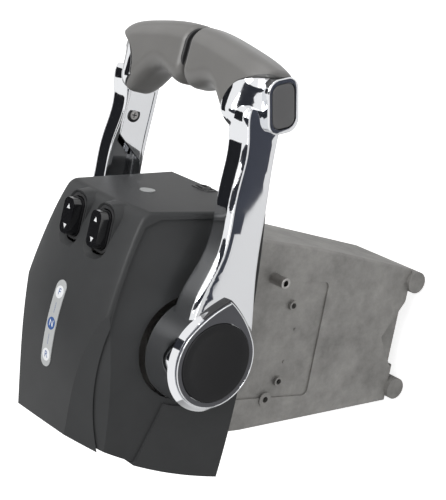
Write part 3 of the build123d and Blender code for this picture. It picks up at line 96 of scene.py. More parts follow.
# The label strip: the spacing of the gears, and the discs, letters and lines printed on it.
# Each face of a disc closes in a tiny circle at its middle, the pole.
GEAR_SPACING = 21.8
DISC_RADIUS = 4.3
DISC_POLE = 0.01
DISC_DEPTH = 0.1
DISC_PROUD = 0.03
LETTER_SIZE = 6.4
LETTER_HALF_DEPTH = 0.03
LETTER_LIFT = 0.04
LINE_HALF_WIDTH = 0.16
LINE_HALF_LENGTH = 3.6
LINE_HALF_DEPTH = 0.03

# The rocker marks, print and a painted highlight on the glossy rockers: distance from the
# middle as a share of the rocker's length, and size
MARK_SHIFT = 0.26
MARK_LENGTH = 3.2
MARK_WIDTH = 3.6
MARK_HALF_DEPTH = 0.03

# The insert screws: the bars of the cross slot, painted shade in its recess, and the collar
# that stands behind the head.
# The collar's faces are flat inside its inner radius.
SLOT_HALF_LENGTH = 2.0
SLOT_HALF_WIDTH = 0.4
SLOT_HALF_DEPTH = 0.04
COLLAR_INNER = 3.3
COLLAR_RADIUS = 5.2
COLLAR_DEPTH = 0.3
COLLAR_PROUD = 0.05
COLLAR_SETBACK = 0.6

# The frame round the release catch: half width, half height and rise of each ring from the
# outside in, the power that rounds its corners, how far off the middle the cover is probed,
# and the points in a ring
CATCH_RINGS = (
    (9.6, 5.6, -0.6),
    (9.6, 5.6, 0.35),
    (9.1, 5.1, 0.6),
    (7.4, 3.4, 0.6),
    (7.1, 3.1, -0.6),
)
CATCH_ROUNDING = 5
CATCH_PROBE = 9
CATCH_POINTS = 96

# Rays that find a surface start this many metres out
RAY_START = 0.2

# Points of a solid and of a new piece count as one within these distances in metres, and
# the solids' edges stay sharp past this angle
JOIN_DISTANCE = 1e-6
PIECE_JOIN_DISTANCE = 1e-7
SHARP_ANGLE = math.radians(32.0)

# Tones of the small pieces' finishes: print; white that is print and painted highlight on the
# rockers; and the dark of the screw slots, painted shade, which the collars share
LETTER_BLUE = (0.03, 0.085, 0.26)
WHITE_PRINT_AND_HIGHLIGHT = (0.75, 0.76, 0.77)
SLOT_SHADE_AND_COLLAR_DARK = (0.01, 0.01, 0.011)

# The studio: light of the world on matt surfaces and where it is seen, and the floor
WORLD_LIGHT = 0.36
WORLD_SEEN = 1.0
FLOOR_HALF = 6.0
FLOOR_TONE = (0.8, 0.8, 0.8)
MATT = 0.9

# Lamps: name, place, side of the square, and the setting that holds the power
LAMPS = (
    ("key", (0.35, 0.55, 1.1), 0.9, "key_power"),
    ("fill", (1.3, 0.3, 0.0), 1.0, "fill_power"),
    ("top", (0.1, 1.3, 0.2), 0.8, "fill_power"),
)
LAMP_AIM = (0, 0.05, 0)

# Cards seen in the chrome: name, grey level and corners, and the tint they share
REFLECTION_CARDS = (
    (
        "card_ahead", 0.012,
        ((-2.0, -0.5, 1.0), (-2.0, 0.5, 1.0), (-0.9, 0.5, 1.7), (-0.9, -0.5, 1.7)),
    ),
    (
        "card_near", 0.03,
        ((0.0, 0.04, 0.62), (0.0, 0.15, 0.62), (0.62, 0.17, 0.0), (0.62, 0.06, 0.0)),
    ),
    (
        "card_side", 0.07,
        ((0.3, 0.128, -0.19), (0.3, 0.3, -0.19), (0.3, 0.3, -0.1), (0.3, -0.058, -0.1)),
    ),
)
CARD_TINT = (1.0, 1.1, 1.5)

# Camera: fitted to the photograph's vanishing lines
CAMERA_PLACE = (0.845699, 0.298364, 0.702576)
CAMERA_RIGHT = (0.60446, 0.185756, -0.774676)
CAMERA_UP = (-0.285486, 0.958357, 0.007043)


# Shapes


def lever_points(x, along, across, side):
    """Points given in the lever frame, as metres in the row frame."""
    x, along, across = np.broadcast_arrays(x, along, across)
    c, s = math.cos(LEVER_ANGLE), math.sin(LEVER_ANGLE)
    y = along * c - across * s
    z = PIVOT_HEIGHT + along * s + across * c
    return np.stack([side * x, y, z], axis=-1) * MM


def grid_mesh(name, points, close_u=False, close_v=False, capped=False):
    """A surface through a grid of points: rows along u, columns along v.

    Either direction may be closed, and caps fill the first and the last row.
    """
    rows, columns = points.shape[:2]
    u = np.arange(rows if close_u else rows - 1)
    v = np.arange(columns if close_v else columns - 1)
    u, v = np.meshgrid(u, v, indexing="ij")
    u2, v2 = (u + 1) % rows, (v + 1) % columns
    corners = [u * columns + v, u2 * columns + v, u2 * columns + v2, u * columns + v2]
    faces = np.stack(corners, axis=-1).reshape(-1, 4).tolist()
    if capped:
        faces.append(list(range(columns)))
        faces.append(list(range(rows * columns - 1, (rows - 1) * columns - 1, -1)))
    mesh = bpy.data.meshes.new(name)
    mesh.from_pydata(points.reshape(-1, 3).tolist(), [], faces)
    mesh.validate()
    return mesh


def tube_along(name, path, radius, sides=12):
    """A round bead along a closed path: each ring is a circle across the path's direction."""
    path = np.asarray(path)
    tangent = np.roll(path, -1, axis=0) - np.roll(path, 1, axis=0)
    tangent /= np.linalg.norm(tangent, axis=1, keepdims=True)
    first = np.cross(tangent, np.array([1.0, 0.0, 0.0]))
    first /= np.linalg.norm(first, axis=1, keepdims=True)
    second = np.cross(tangent, first)
    turn = np.linspace(0, 2 * np.pi, sides, endpoint=False)
    c, s = np.cos(turn)[None, :, None], np.sin(turn)[None, :, None]
    rings = path[:, None, :] + radius * (c * first[:, None, :] + s * second[:, None, :])
    return grid_mesh(name, rings, close_u=True, close_v=True)


def flat_disc(name, centre, axis, inner, outer, depth, proud, sides=64):
    """A disc about an axis: circles of the inner and outer radius, below and above its centre."""
    axis = Vector(axis).normalized()
    first = axis.orthogonal().normalized()
    second = axis.cross(first)
    profile = [(inner, -depth), (outer, -depth), (outer, proud), (inner, proud)]
    profile = np.asarray(profile, float) * MM
    turn = np.linspace(0, 2 * np.pi, sides, endpoint=False)
    ring = np.cos(turn)[:, None] * np.array(first) + np.sin(turn)[:, None] * np.array(second)
    points = (
        np.array(centre)
        + profile[:, 0][:, None, None] * ring[None]
        + profile[:, 1][:, None, None] * np.array(axis)
    )
    return grid_mesh(name, points, close_v=True, capped=True)


def arrow_prism(name, spot, normal, ahead, length, width, height):
    """A triangle mark: its point at plus half the length, its base at minus half.

    It reaches its height to both sides of the surface.
    """
    side = ahead.cross(normal)
    point = ahead * length / 2
    flat = (point, side * width / 2 - point, -side * width / 2 - point)
    rises = (-height, height)
    points = [[tuple(spot + corner + normal * rise) for corner in flat] for rise in rises]
    return grid_mesh(name, np.array(points), close_v=True, capped=True)


def slab(name, middle, first, second, third):
    """A small block: middle plus and minus three half sides."""
    middle, first, second, third = (np.array(v, float) for v in (middle, first, second, third))
    ring = [first + second, first - second, -first - second, -first + second]
    points = np.array([[middle + corner + rise * third for corner in ring] for rise in (-1, 1)])
    return grid_mesh(name, points, close_v=True, capped=True)


def teardrop_path(grow=0.0, count=180):
    """The teardrop's outline as (along, across), larger all round by the growth.

    A round back runs from shoulder to shoulder. From each shoulder an arc that starts in the
    back's direction runs into the point: its chord and half its turn give its radius.
    """
    radius = TEARDROP_RADIUS + grow
    tip = TEARDROP_TIP + grow * TEARDROP_TIP / TEARDROP_RADIUS
    shoulder = TEARDROP_SHOULDER
    back = np.linspace(shoulder, 2 * np.pi - shoulder, count)
    ring = np.stack([radius * np.cos(back), radius * np.sin(back)], axis=1)
    rise = radius * math.sin(shoulder)
    reach = tip - radius * math.cos(shoulder)
    turn = math.atan2(rise, reach) - (math.pi / 2 - shoulder)
    bend = math.hypot(rise, reach) / (2 * math.sin(turn))
    centre = (radius - bend) * np.array([math.cos(shoulder), math.sin(shoulder)])
    sweep = shoulder - np.linspace(0, 2 * turn, count // 4)
    upper = centre + bend * np.stack([np.cos(sweep), np.sin(sweep)], axis=1)
    lower = upper * np.array([1.0, -1.0])
    return np.vstack([ring[1:-1], lower[:-1], upper[::-1][:-1]])


def rounded_rectangle(half_along, half_across, corner, count=24):
    """A rounded rectangle's outline: four quarter circles about the corners' centres."""
    quarter = np.linspace(0, np.pi / 2, count)
    parts = []
    for step, (a, b) in enumerate(((1, 1), (-1, 1), (-1, -1), (1, -1))):
        turn = quarter + step * np.pi / 2
        along = a * (half_along - corner) + corner * np.cos(turn)
        across = b * (half_across - corner) + corner * np.sin(turn)
        parts.append(np.stack([along, across], axis=1))
    return np.vstack(parts)


# Pieces


def outward(mesh):
    """Merges doubles and turns the faces of a closed mesh outwards."""
    work = bmesh.new()
    work.from_mesh(mesh)
    bmesh.ops.remove_doubles(work, verts=work.verts, dist=PIECE_JOIN_DISTANCE)
    bmesh.ops.recalc_face_normals(work, faces=work.faces)
    work.to_mesh(mesh)
    work.free()


def add_piece(name, mesh, body, slot, material=None, smooth=True):
    """Links a finished mesh as a piece that rides on a body, in its slot's finish or its own."""
    outward(mesh)
    mesh.polygons.foreach_set("use_smooth", [smooth] * len(mesh.polygons))
    piece = bpy.data.objects.new(name, mesh)
    bpy.context.scene.collection.objects.link(piece)
    mesh.materials.append(material or finishes[slot])
    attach(piece, body)


def surface_tree(node):
    """A search tree over a CAD node's mesh, for seating pieces on it."""
    mesh = frame["nodes"][node].data
    faces = [list(polygon.vertices) for polygon in mesh.polygons]
    return BVHTree.FromPolygons([vertex.co for vertex in mesh.vertices], faces)


def met(tree, start, direction):
    """The point and the normal where a ray first meets a surface."""
    spot, normal, _, _ = tree.ray_cast(Vector(start), Vector(direction))
    return spot, normal


def strip_seat(tree, y):
    """Where a piece sits on the label strip: point, normal, and the ways across and ahead."""
    spot, normal = met(tree, (0, y * MM, RAY_START), (0, 0, -1))
    side = Vector((1, 0, 0))
    return spot, normal, side, normal.cross(side).normalized()


def text_mesh(letter, size, half_depth):
    """A letter about the origin as a mesh, with its name."""
    curve = bpy.data.curves.new(f"letter_{letter}", "FONT")
    curve.body = letter
    curve.size = size * MM
    curve.align_x = curve.align_y = "CENTER"
    curve.extrude = half_depth * MM
    text = bpy.data.objects.new(curve.name, curve)
    bpy.context.scene.collection.objects.link(text)
    bpy.context.view_layer.update()
    mesh = bpy.data.meshes.new_from_object(text)
    bpy.data.objects.remove(text)
    return curve.name, mesh


def smoothing():
    """A node group that joins loose triangles and shades them smooth, apart from sharp edges."""
    group = bpy.data.node_groups.new("joined_and_smooth", "GeometryNodeTree")
    for way in ("INPUT", "OUTPUT"):
        group.interface.new_socket("Geometry", in_out=way, socket_type="NodeSocketGeometry")
    start = group.nodes.new("NodeGroupInput")
    end = group.nodes.new("NodeGroupOutput")
    join = group.nodes.new("GeometryNodeMergeByDistance")
    join.inputs["Distance"].default_value = JOIN_DISTANCE
    smooth = group.nodes.new("GeometryNodeSetShadeSmooth")
    sharp = group.nodes.new("GeometryNodeSetShadeSmooth")
    sharp.domain = "EDGE"
    sharp.inputs["Shade Smooth"].default_value = False
    turn = group.nodes.new("GeometryNodeInputMeshEdgeAngle")
    limit = group.nodes.new("FunctionNodeCompare")
    limit.operation = "GREATER_THAN"
    limit.inputs[1].default_value = SHARP_ANGLE
    group.links.new(turn.outputs["Unsigned Angle"], limit.inputs[0])
    group.links.new(limit.outputs["Result"], sharp.inputs["Selection"])
    group.links.new(start.outputs[0], join.inputs["Geometry"])
    group.links.new(join.outputs["Geometry"], smooth.inputs["Geometry"])
    group.links.new(smooth.outputs["Geometry"], sharp.inputs["Geometry"])
    group.links.new(sharp.outputs["Geometry"], end.inputs[0])
    return group


# Finishes

# The finishes of the record's material slots, filled by the first operator
finishes = {}


def new_finish(name, colour, roughness, metallic=0.0):
    """A principled material and the parts that its details plug into."""
    material = bpy.data.materials.new(name)
    material.use_nodes = True
    tree = material.node_tree
    shader = tree.nodes["Principled BSDF"]
    shader.inputs["Base Color"].default_value = (*colour, 1)
    shader.inputs["Roughness"].default_value = roughness
    shader.inputs["Metallic"].default_value = metallic
    place = tree.nodes.new("ShaderNodeTexCoord")
    return material, tree, shader, place


def add_noise(tree, place, scale, detail, roughness=0.55, stretch=None):
    """A noise pattern on object coordinates, optionally stretched."""
    noise = tree.nodes.new("ShaderNodeTexNoise")
    noise.inputs["Scale"].default_value = scale
    noise.inputs["Detail"].default_value = detail
    noise.inputs["Roughness"].default_value = roughness
    source = place.outputs["Object"]
    if stretch:
        mapping = tree.nodes.new("ShaderNodeMapping")
        mapping.inputs["Scale"].default_value = stretch
        tree.links.new(source, mapping.inputs["Vector"])
        source = mapping.outputs["Vector"]
    tree.links.new(source, noise.inputs["Vector"])
    return noise.outputs["Fac"]


def add_bump(tree, shader, height, strength, distance, below=None):
    """Bumps the surface by a height pattern, on top of the bump below it."""
    bump = tree.nodes.new("ShaderNodeBump")
    bump.inputs["Strength"].default_value = strength
    bump.inputs["Distance"].default_value = distance
    tree.links.new(height, bump.inputs["Height"])
    if below:
        tree.links.new(below, bump.inputs["Normal"])
    tree.links.new(bump.outputs["Normal"], shader.inputs["Normal"])
    return bump.outputs["Normal"]


def vary_colour(tree, shader, pattern, dark, light, low=0.35, high=0.65):
    """Spreads the base colour between a dark and a light tone by a pattern."""
    ramp = tree.nodes.new("ShaderNodeValToRGB")
    ramp.color_ramp.elements[0].position = low
    ramp.color_ramp.elements[0].color = (*dark, 1)
    ramp.color_ramp.elements[1].position = high
    ramp.color_ramp.elements[1].color = (*light, 1)
    tree.links.new(pattern, ramp.inputs["Fac"])
    tree.links.new(ramp.outputs["Color"], shader.inputs["Base Color"])


def vary_roughness(tree, shader, pattern, low, high):
    """Spreads the roughness between two values by a pattern."""
    span = tree.nodes.new("ShaderNodeMapRange")
    span.inputs["To Min"].default_value = low
    span.inputs["To Max"].default_value = high
    tree.links.new(pattern, span.inputs["Value"])
    tree.links.new(span.outputs["Result"], shader.inputs["Roughness"])


def shades(colour, spread):
    """A darker and a lighter tone about a colour."""
    return tuple(c * (1 - spread) for c in colour), tuple(c * (1 + spread) for c in colour)


def moulded_plastic(name, colour, roughness, grain=1400.0, depth=0.00006, coat=0.0, specular=0.5):
    """Moulded plastic with a fine spark-eroded grain."""
    material, tree, shader, place = new_finish(name, colour, roughness)
    cloud = add_noise(tree, place, scale=40.0, detail=3.0)
    vary_colour(tree, shader, cloud, *shades(colour, spread=0.06))
    fine = add_noise(tree, place, scale=grain, detail=2.0)
    vary_roughness(tree, shader, fine, low=roughness - 0.05, high=roughness + 0.08)
    add_bump(tree, shader, fine, strength=0.35, distance=depth)
    shader.inputs["Specular IOR Level"].default_value = specular
    shader.inputs["Coat Weight"].default_value = coat
    shader.inputs["Coat Roughness"].default_value = 0.08
    return material


def soft_rubber(name, colour, roughness):
    """Soft-touch rubber: even, with a silky sheen and a very fine grain."""
    material, tree, shader, place = new_finish(name, colour, roughness)
    cloud = add_noise(tree, place, scale=25.0, detail=3.0)
    vary_colour(tree, shader, cloud, *shades(colour, spread=0.05))
    fine = add_noise(tree, place, scale=2200.0, detail=2.0)
    add_bump(tree, shader, fine, strength=0.2, distance=0.00004)
    shader.inputs["Sheen Weight"].default_value = 0.15
    shader.inputs["Sheen Roughness"].default_value = 0.4
    return material


def polished_metal(name, colour, roughness):
    """Polished or plated metal with a faint ripple and fine wiping marks."""
    material, tree, shader, place = new_finish(name, colour, roughness, metallic=1.0)
    smear = add_noise(tree, place, scale=90.0, detail=5.0, stretch=(1.0, 0.3, 1.0))
    vary_roughness(tree, shader, smear, low=roughness * 0.6, high=roughness * 1.7)
    wave = add_noise(tree, place, scale=35.0, detail=1.0)
    add_bump(tree, shader, wave, strength=0.02, distance=0.002)
    return material


def cast_metal(name, colour, roughness):
    """Cast and blasted alloy: cloudy patches, dark specks and a sandy skin."""
    material, tree, shader, place = new_finish(name, colour, roughness, metallic=0.55)
    cloud = add_noise(tree, place, scale=38.0, detail=8.0, roughness=0.7)
    vary_colour(tree, shader, cloud, *shades(colour, spread=0.3), low=0.3, high=0.7)
    sand = add_noise(tree, place, scale=1100.0, detail=3.0)
    dents = add_noise(tree, place, scale=160.0, detail=5.0)
    skin = add_bump(tree, shader, sand, strength=0.45, distance=0.00018)
    add_bump(tree, shader, dents, strength=0.25, distance=0.0006, below=skin)
    vary_roughness(tree, shader, cloud, low=roughness - 0.08, high=roughness + 0.1)
    return material


def machined_metal(name, colour, roughness):
    """Turned or milled metal with fine tool lines."""
    material, tree, shader, place = new_finish(name, colour, roughness, metallic=1.0)
    lines = add_noise(tree, place, scale=300.0, detail=4.0, stretch=(12.0, 1.0, 1.0))
    vary_colour(tree, shader, lines, *shades(colour, spread=0.12))
    add_bump(tree, shader, lines, strength=0.15, distance=0.0001)
    return material


def printed_film(name, colour, roughness=0.35):
    """Smooth printed film or foil: the strip, its letters, and rocker marks with painted
    highlight.
    """
    return moulded_plastic(name, colour, roughness, depth=0.00001)


# How each finish is made: its maker, roughness and further settings
FINISH_MAKERS = {
    "cover_plastic": (moulded_plastic, 0.42, {"specular": 0.25}),
    "grip_rubber": (soft_rubber, 0.36, {}),
    "chrome": (polished_metal, 0.045, {}),
    "bezel_grey": (moulded_plastic, 0.3, {"coat": 0.3}),
    "button_black": (moulded_plastic, 0.42, {"grain": 1800.0, "specular": 0.2}),
    "cast_alloy": (cast_metal, 0.5, {}),
    "machined_alloy": (machined_metal, 0.35, {}),
    "steel": (machined_metal, 0.28, {}),
    "bronze": (machined_metal, 0.35, {}),
    "black_plastic": (moulded_plastic, 0.45, {}),
    "gloss_black": (moulded_plastic, 0.12, {"depth": 0.00001, "coat": 1.0}),
    "grey_pad": (moulded_plastic, 0.4, {}),
    "gasket_foam": (soft_rubber, 0.7, {}),
    "label_film": (printed_film, 0.38, {}),
    "white_plastic": (moulded_plastic, 0.35, {}),
}

# Tones of the finishes whose colour isn't a setting
FIXED_TONES = {
    "bezel_grey": (0.046, 0.047, 0.056),
    "button_black": (0.011, 0.011, 0.012),
    "machined_alloy": (0.45, 0.45, 0.45),
    "steel": (0.42, 0.41, 0.4),
    "bronze": (0.5, 0.33, 0.14),
    "black_plastic": (0.02, 0.02, 0.021),
    "gloss_black": (0.008, 0.008, 0.009),
    "grey_pad": (0.1, 0.1, 0.102),
    "gasket_foam": (0.02, 0.02, 0.02),
    "label_film": (0.42, 0.43, 0.43),
    "white_plastic": (0.34, 0.35, 0.35),
}


# Settings


class ThrottleColours(bpy.types.PropertyGroup):
    """Colours of the control's finishes."""

    cover: bpy.props.FloatVectorProperty(
        name="Cover",
        description="Moulded cover",
        subtype="COLOR",
        size=3,
        default=(0.034, 0.035, 0.036),
    )
    grip: bpy.props.FloatVectorProperty(
        name="Grips",
        description="Soft grips",
        subtype="COLOR",
        size=3,
        default=(0.15, 0.147, 0.142),
    )
    alloy: bpy.props.FloatVectorProperty(
        name="Chassis",
        description="Cast chassis",
        subtype="COLOR",
        size=3,
        default=(0.28, 0.274, 0.263),
    )
    chrome: bpy.props.FloatVectorProperty(
        name="Levers",
        description="Plated levers",
        subtype="COLOR",
        size=3,
        default=(0.82, 0.83, 0.85),
    )


class ThrottleStage(bpy.types.PropertyGroup):
    """The studio round the control."""

    floor_height: bpy.props.FloatProperty(
        name="Floor Height",
        description="Height of the floor",
        default=-0.195,
        unit="LENGTH",
    )
    floor_glow: bpy.props.FloatProperty(
        name="Floor Glow",
        description="How much of its own light the floor shows the camera",
        default=0.8,
    )
    key_power: bpy.props.FloatProperty(
        name="Key Power",
        description="Power of the key lamp",
        default=14.0,
    )
    fill_power: bpy.props.FloatProperty(
        name="Fill Power",
        description="Power of the fill lamp and of the top lamp",
        default=2.4,
    )
    lens: bpy.props.FloatProperty(
        name="Lens",
        description="Focal length in millimetres",
        default=115.2,
    )


# Operators


class THROTTLE_OT_finishes(bpy.types.Operator):
    """Makes the finishes and gives them to the control's solids"""

    bl_idname = "throttle.finishes"
    bl_label = "Finishes"

    def execute(self, context):
        colours = context.scene.throttle_colours
        tones = dict(
            FIXED_TONES,
            cover_plastic=tuple(colours.cover),
            grip_rubber=tuple(colours.grip),
            chrome=tuple(colours.chrome),
            cast_alloy=tuple(colours.alloy),
        )
        for name, (make, roughness, settings) in FINISH_MAKERS.items():
            finishes[name] = make(name, tones[name], roughness, **settings)
        slots = {entry["node"]: entry["material_slot"] for entry in frame["record"]["subparts"]}
        group = smoothing()
        for node, obj in frame["nodes"].items():
            obj.data.materials.clear()
            obj.data.materials.append(finishes[slots[node]])
            obj.modifiers.new(group.name, "NODES").node_group = group
        return {"FINISHED"}


class THROTTLE_OT_hub_trims(bpy.types.Operator):
    """Adds the bright bead round each teardrop and a black chevron of painted shade ahead of its
    point
    """

    bl_idname = "throttle.hub_trims"
    bl_label = "Hub Trims"

    def execute(self, context):
        outline = teardrop_path()
        near, far = teardrop_path(CHEVRON_NEAR), teardrop_path(CHEVRON_FAR)
        tip = near[:, 0] > CHEVRON_START
        band = np.stack([near[tip], far[tip]], axis=1)
        for side, sign in SIDES.items():
            body = f"{side}_lever_body"
            path = lever_points(TEARDROP_FACE_X - BEAD_INSET, outline[:, 0], outline[:, 1], sign)
            bead = tube_along(f"{side}_teardrop_bead", path, BEAD_RADIUS * MM)
            add_piece(bead.name, bead, body, "chrome")
            # The chevron is a band of painted shade between two grown outlines, let into the
            # hub's face
            deep, proud = (
                lever_points(HUB_FACE_X + rise, band[..., 0], band[..., 1], sign)
                for rise in (-CHEVRON_DEPTH, CHEVRON_PROUD)
            )
            rings = np.stack([deep[:, 0], deep[:, 1], proud[:, 1], proud[:, 0]], axis=1)
            shade_chevron = grid_mesh(f"{side}_chevron", rings, close_v=True, capped=True)
            add_piece(shade_chevron.name, shade_chevron, body, "black_plastic", smooth=False)
        return {"FINISHED"}


class THROTTLE_OT_grip_ends(bpy.types.Operator):
    """Adds dark end plates that paint the shade in the groove between the two grips"""

    bl_idname = "throttle.grip_ends"
    bl_label = "Grip Ends"

    def execute(self, context):
        half_along, half_across = (half - PLATE_INSET for half in GRIP_END_HALF)
        outline = rounded_rectangle(half_along, half_across, GRIP_END_CORNER - PLATE_INSET)
        for side, sign in SIDES.items():
            rings = [
                lever_points(
                    GRIP_END_X + inward,
                    GRIP_END_MIDDLE[0] + share * outline[:, 0],
                    GRIP_END_MIDDLE[1] + share * outline[:, 1],
                    sign,
                )
                for inward, share in PLATE_RINGS
            ]
            # A dark plate that paints the shade in the groove between the grips
            shade_plate = grid_mesh(f"{side}_grip_end", np.array(rings), close_v=True, capped=True)
            add_piece(shade_plate.name, shade_plate, f"{side}_lever_body", "black_plastic")
        return {"FINISHED"}


class THROTTLE_OT_gear_letters(bpy.types.Operator):
    """Adds the gear letters on their discs to the label strip"""

    bl_idname = "throttle.gear_letters"
    bl_label = "Gear Letters"

    def execute(self, context):
        blue = printed_film("letter_blue", LETTER_BLUE)
        white = printed_film("disc_white", WHITE_PRINT_AND_HIGHLIGHT)
        tree = surface_tree("label_strip")
        sizes = (DISC_POLE, DISC_RADIUS, DISC_DEPTH, DISC_PROUD)
        for letter, place, disc_finish, letter_finish in (
            ("F", 1, white, blue),
            ("N", 0, blue, white),
            ("R", -1, white, blue),
        ):
            spot, normal, side, ahead = strip_seat(tree, place * GEAR_SPACING)
            disc = flat_disc(f"disc_{letter}", spot, normal, *sizes)
            add_piece(disc.name, disc, "base", "label_film", disc_finish, smooth=False)
            name, mesh = text_mesh(letter, LETTER_SIZE, LETTER_HALF_DEPTH)
            turn = Matrix((side, ahead, normal)).transposed().to_4x4()
            mesh.transform(Matrix.Translation(spot + normal * LETTER_LIFT * MM) @ turn)
            add_piece(name, mesh, "base", "label_film", letter_finish, smooth=False)
        # Thin lines between the discs
        for name, place in (("ahead", 0.5), ("astern", -0.5)):
            spot, normal, side, ahead = strip_seat(tree, place * GEAR_SPACING)
            halves = (
                side * LINE_HALF_WIDTH * MM,
                ahead * LINE_HALF_LENGTH * MM,
                normal * LINE_HALF_DEPTH * MM,
            )
            line = slab(f"strip_line_{name}", spot, *halves)
            add_piece(line.name, line, "base", "label_film", blue, smooth=False)
        return {"FINISHED"}


class THROTTLE_OT_rocker_marks(bpy.types.Operator):
    """Adds the plain up and down marks to the rockers, print that also paints their highlight"""

    bl_idname = "throttle.rocker_marks"
    bl_label = "Rocker Marks"

    def execute(self, context):
        # The white marks are print and also a painted highlight on the glossy rockers
        white = printed_film("mark_white", WHITE_PRINT_AND_HIGHLIGHT)
        sizes = (MARK_LENGTH * MM, MARK_WIDTH * MM, MARK_HALF_DEPTH * MM)
        for side in SIDES:
            tree = surface_tree(f"{side}_rocker")
            low, high = (Vector(corner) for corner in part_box(f"{side}_rocker"))
            middle = (low + high) / 2
            for name, way in (("up", 1.0), ("down", -1.0)):
                y = middle.y + way * MARK_SHIFT * (high.y - low.y)
                spot, normal = met(tree, (middle.x, y, RAY_START), (0, 0, -1))
                ahead = Vector((0, way, 0))
                ahead = (ahead - normal * ahead.dot(normal)).normalized()
                mark = arrow_prism(f"{side}_mark_{name}", spot, normal, ahead, *sizes)
                add_piece(
                    mark.name, mark, f"{side}_rocker_body", "gloss_black", white, smooth=False
                )
        return {"FINISHED"}


class THROTTLE_OT_screw_slots(bpy.types.Operator):
    """Adds the cross slots, painted as shade, and the collars to the screws that hold the lever
    inserts
    """

    bl_idname = "throttle.screw_slots"
    bl_label = "Screw Slots"

    def execute(self, context):
        # This dark paints the shade in the slots' cross recess, and the collars share it
        dark = moulded_plastic("slot_dark", SLOT_SHADE_AND_COLLAR_DARK, 0.5)
        along = Vector((0, math.cos(LEVER_ANGLE), math.sin(LEVER_ANGLE)))
        across = Vector((0, -math.sin(LEVER_ANGLE), math.cos(LEVER_ANGLE)))
        sizes = (COLLAR_INNER, COLLAR_RADIUS, COLLAR_DEPTH, COLLAR_PROUD)
        for side, sign in SIDES.items():
            body = f"{side}_lever_body"
            low, high = (Vector(corner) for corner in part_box(f"{side}_insert_screw"))
            middle = (low + high) / 2
            middle.x = low.x if sign > 0 else high.x
            for name, long, short in (("a", along, across), ("b", across, along)):
                halves = (
                    long * SLOT_HALF_LENGTH * MM,
                    short * SLOT_HALF_WIDTH * MM,
                    Vector((SLOT_HALF_DEPTH * MM, 0, 0)),
                )
                shade_bar = slab(f"{side}_slot_{name}", middle, *halves)
                add_piece(shade_bar.name, shade_bar, body, "steel", dark, smooth=False)
            centre = middle + Vector((sign * COLLAR_SETBACK * MM, 0, 0))
            collar = flat_disc(f"{side}_screw_collar", centre, (-sign, 0, 0), *sizes)
            add_piece(collar.name, collar, body, "black_plastic", dark)
        return {"FINISHED"}


class THROTTLE_OT_catch_frame(bpy.types.Operator):
    """Adds the raised frame round the release catch"""

    bl_idname = "throttle.catch_frame"
    bl_label = "Catch Frame"

    def execute(self, context):
        low, high = (Vector(corner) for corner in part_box("release_catch"))
        middle = (low + high) / 2
        start = (middle.x + CATCH_PROBE * MM, RAY_START, middle.z)
        spot, normal = met(surface_tree("cover"), start, (0, -1, 0))
        across = Vector((1, 0, 0))
        rise = normal.cross(across).normalized()
        across = rise.cross(normal).normalized()
        centre = spot - across * CATCH_PROBE * MM
        # Each ring is a rounded rectangle in polar form, |x/a|^n + |y/b|^n = 1 with half sides
        # a and b, and the rings run up the outside, over the top and down the inside
        turn = np.linspace(0, 2 * np.pi, CATCH_POINTS, endpoint=False)
        c, s = np.cos(turn), np.sin(turn)
        rings = []
        for wide, tall, height in CATCH_RINGS:
            powers = np.abs(c / wide) ** CATCH_ROUNDING + np.abs(s / tall) ** CATCH_ROUNDING
            reach = powers ** (-1 / CATCH_ROUNDING)
            flat = (reach * c)[:, None] * np.array(across) + (reach * s)[:, None] * np.array(rise)
            rings.append(np.array(centre) + (flat + height * np.array(normal)) * MM)
        mesh = grid_mesh("catch_frame", np.array(rings), close_u=True, close_v=True)
        add_piece(mesh.name, mesh, "base", "black_plastic")
        return {"FINISHED"}


def studio_world(scene):
    """White to the camera and in reflections, and a plain grey light on matt surfaces."""
    world = bpy.data.worlds.new("studio")
    scene.world = world
    world.use_nodes = True
    nodes, links = world.node_tree.nodes, world.node_tree.links
    background = nodes["Background"]
    rays = nodes.new("ShaderNodeLightPath")
    seen = rays.outputs["Is Camera Ray"]
    for ray in ("Is Transmission Ray", "Is Glossy Ray"):
        either = nodes.new("ShaderNodeMath")
        either.operation = "MAXIMUM"
        links.new(seen, either.inputs[0])
        links.new(rays.outputs[ray], either.inputs[1])
        seen = either.outputs[0]
    level = nodes.new("ShaderNodeMapRange")
    level.inputs["To Min"].default_value = WORLD_LIGHT
    level.inputs["To Max"].default_value = WORLD_SEEN
    links.new(seen, level.inputs["Value"])
    links.new(level.outputs["Result"], background.inputs["Strength"])
    background.inputs["Color"].default_value = (1, 1, 1, 1)


def studio_floor(scene, height, own_light):
    """A square pale floor: the camera sees some light of its own on it, and still the shadow."""
    x, y = np.meshgrid((-FLOOR_HALF, FLOOR_HALF), (-FLOOR_HALF, FLOOR_HALF))
    mesh = grid_mesh("floor", np.stack([x, y, np.full_like(x, height)], axis=-1))
    floor = bpy.data.objects.new("floor", mesh)
    scene.collection.objects.link(floor)
    material, tree, shader, _ = new_finish("pale_floor", FLOOR_TONE, MATT)
    rays = tree.nodes.new("ShaderNodeLightPath")
    glow = tree.nodes.new("ShaderNodeMath")
    glow.operation = "MULTIPLY"
    glow.inputs[1].default_value = own_light
    tree.links.new(rays.outputs["Is Camera Ray"], glow.inputs[0])
    tree.links.new(glow.outputs[0], shader.inputs["Emission Strength"])
    shader.inputs["Emission Color"].default_value = (1, 1, 1, 1)
    mesh.materials.append(material)


def studio_card(scene, name, level, corners):
    """A dark card that only reflections see."""
    mesh = bpy.data.meshes.new(name)
    mesh.from_pydata(corners, [], [(0, 1, 2, 3)])
    card = bpy.data.objects.new(name, mesh)
    scene.collection.objects.link(card)
    mesh.materials.append(new_finish(name, [level * tint for tint in CARD_TINT], MATT)[0])
    card.visible_camera = False
    card.visible_diffuse = False
    card.visible_shadow = False
    card.visible_transmission = False


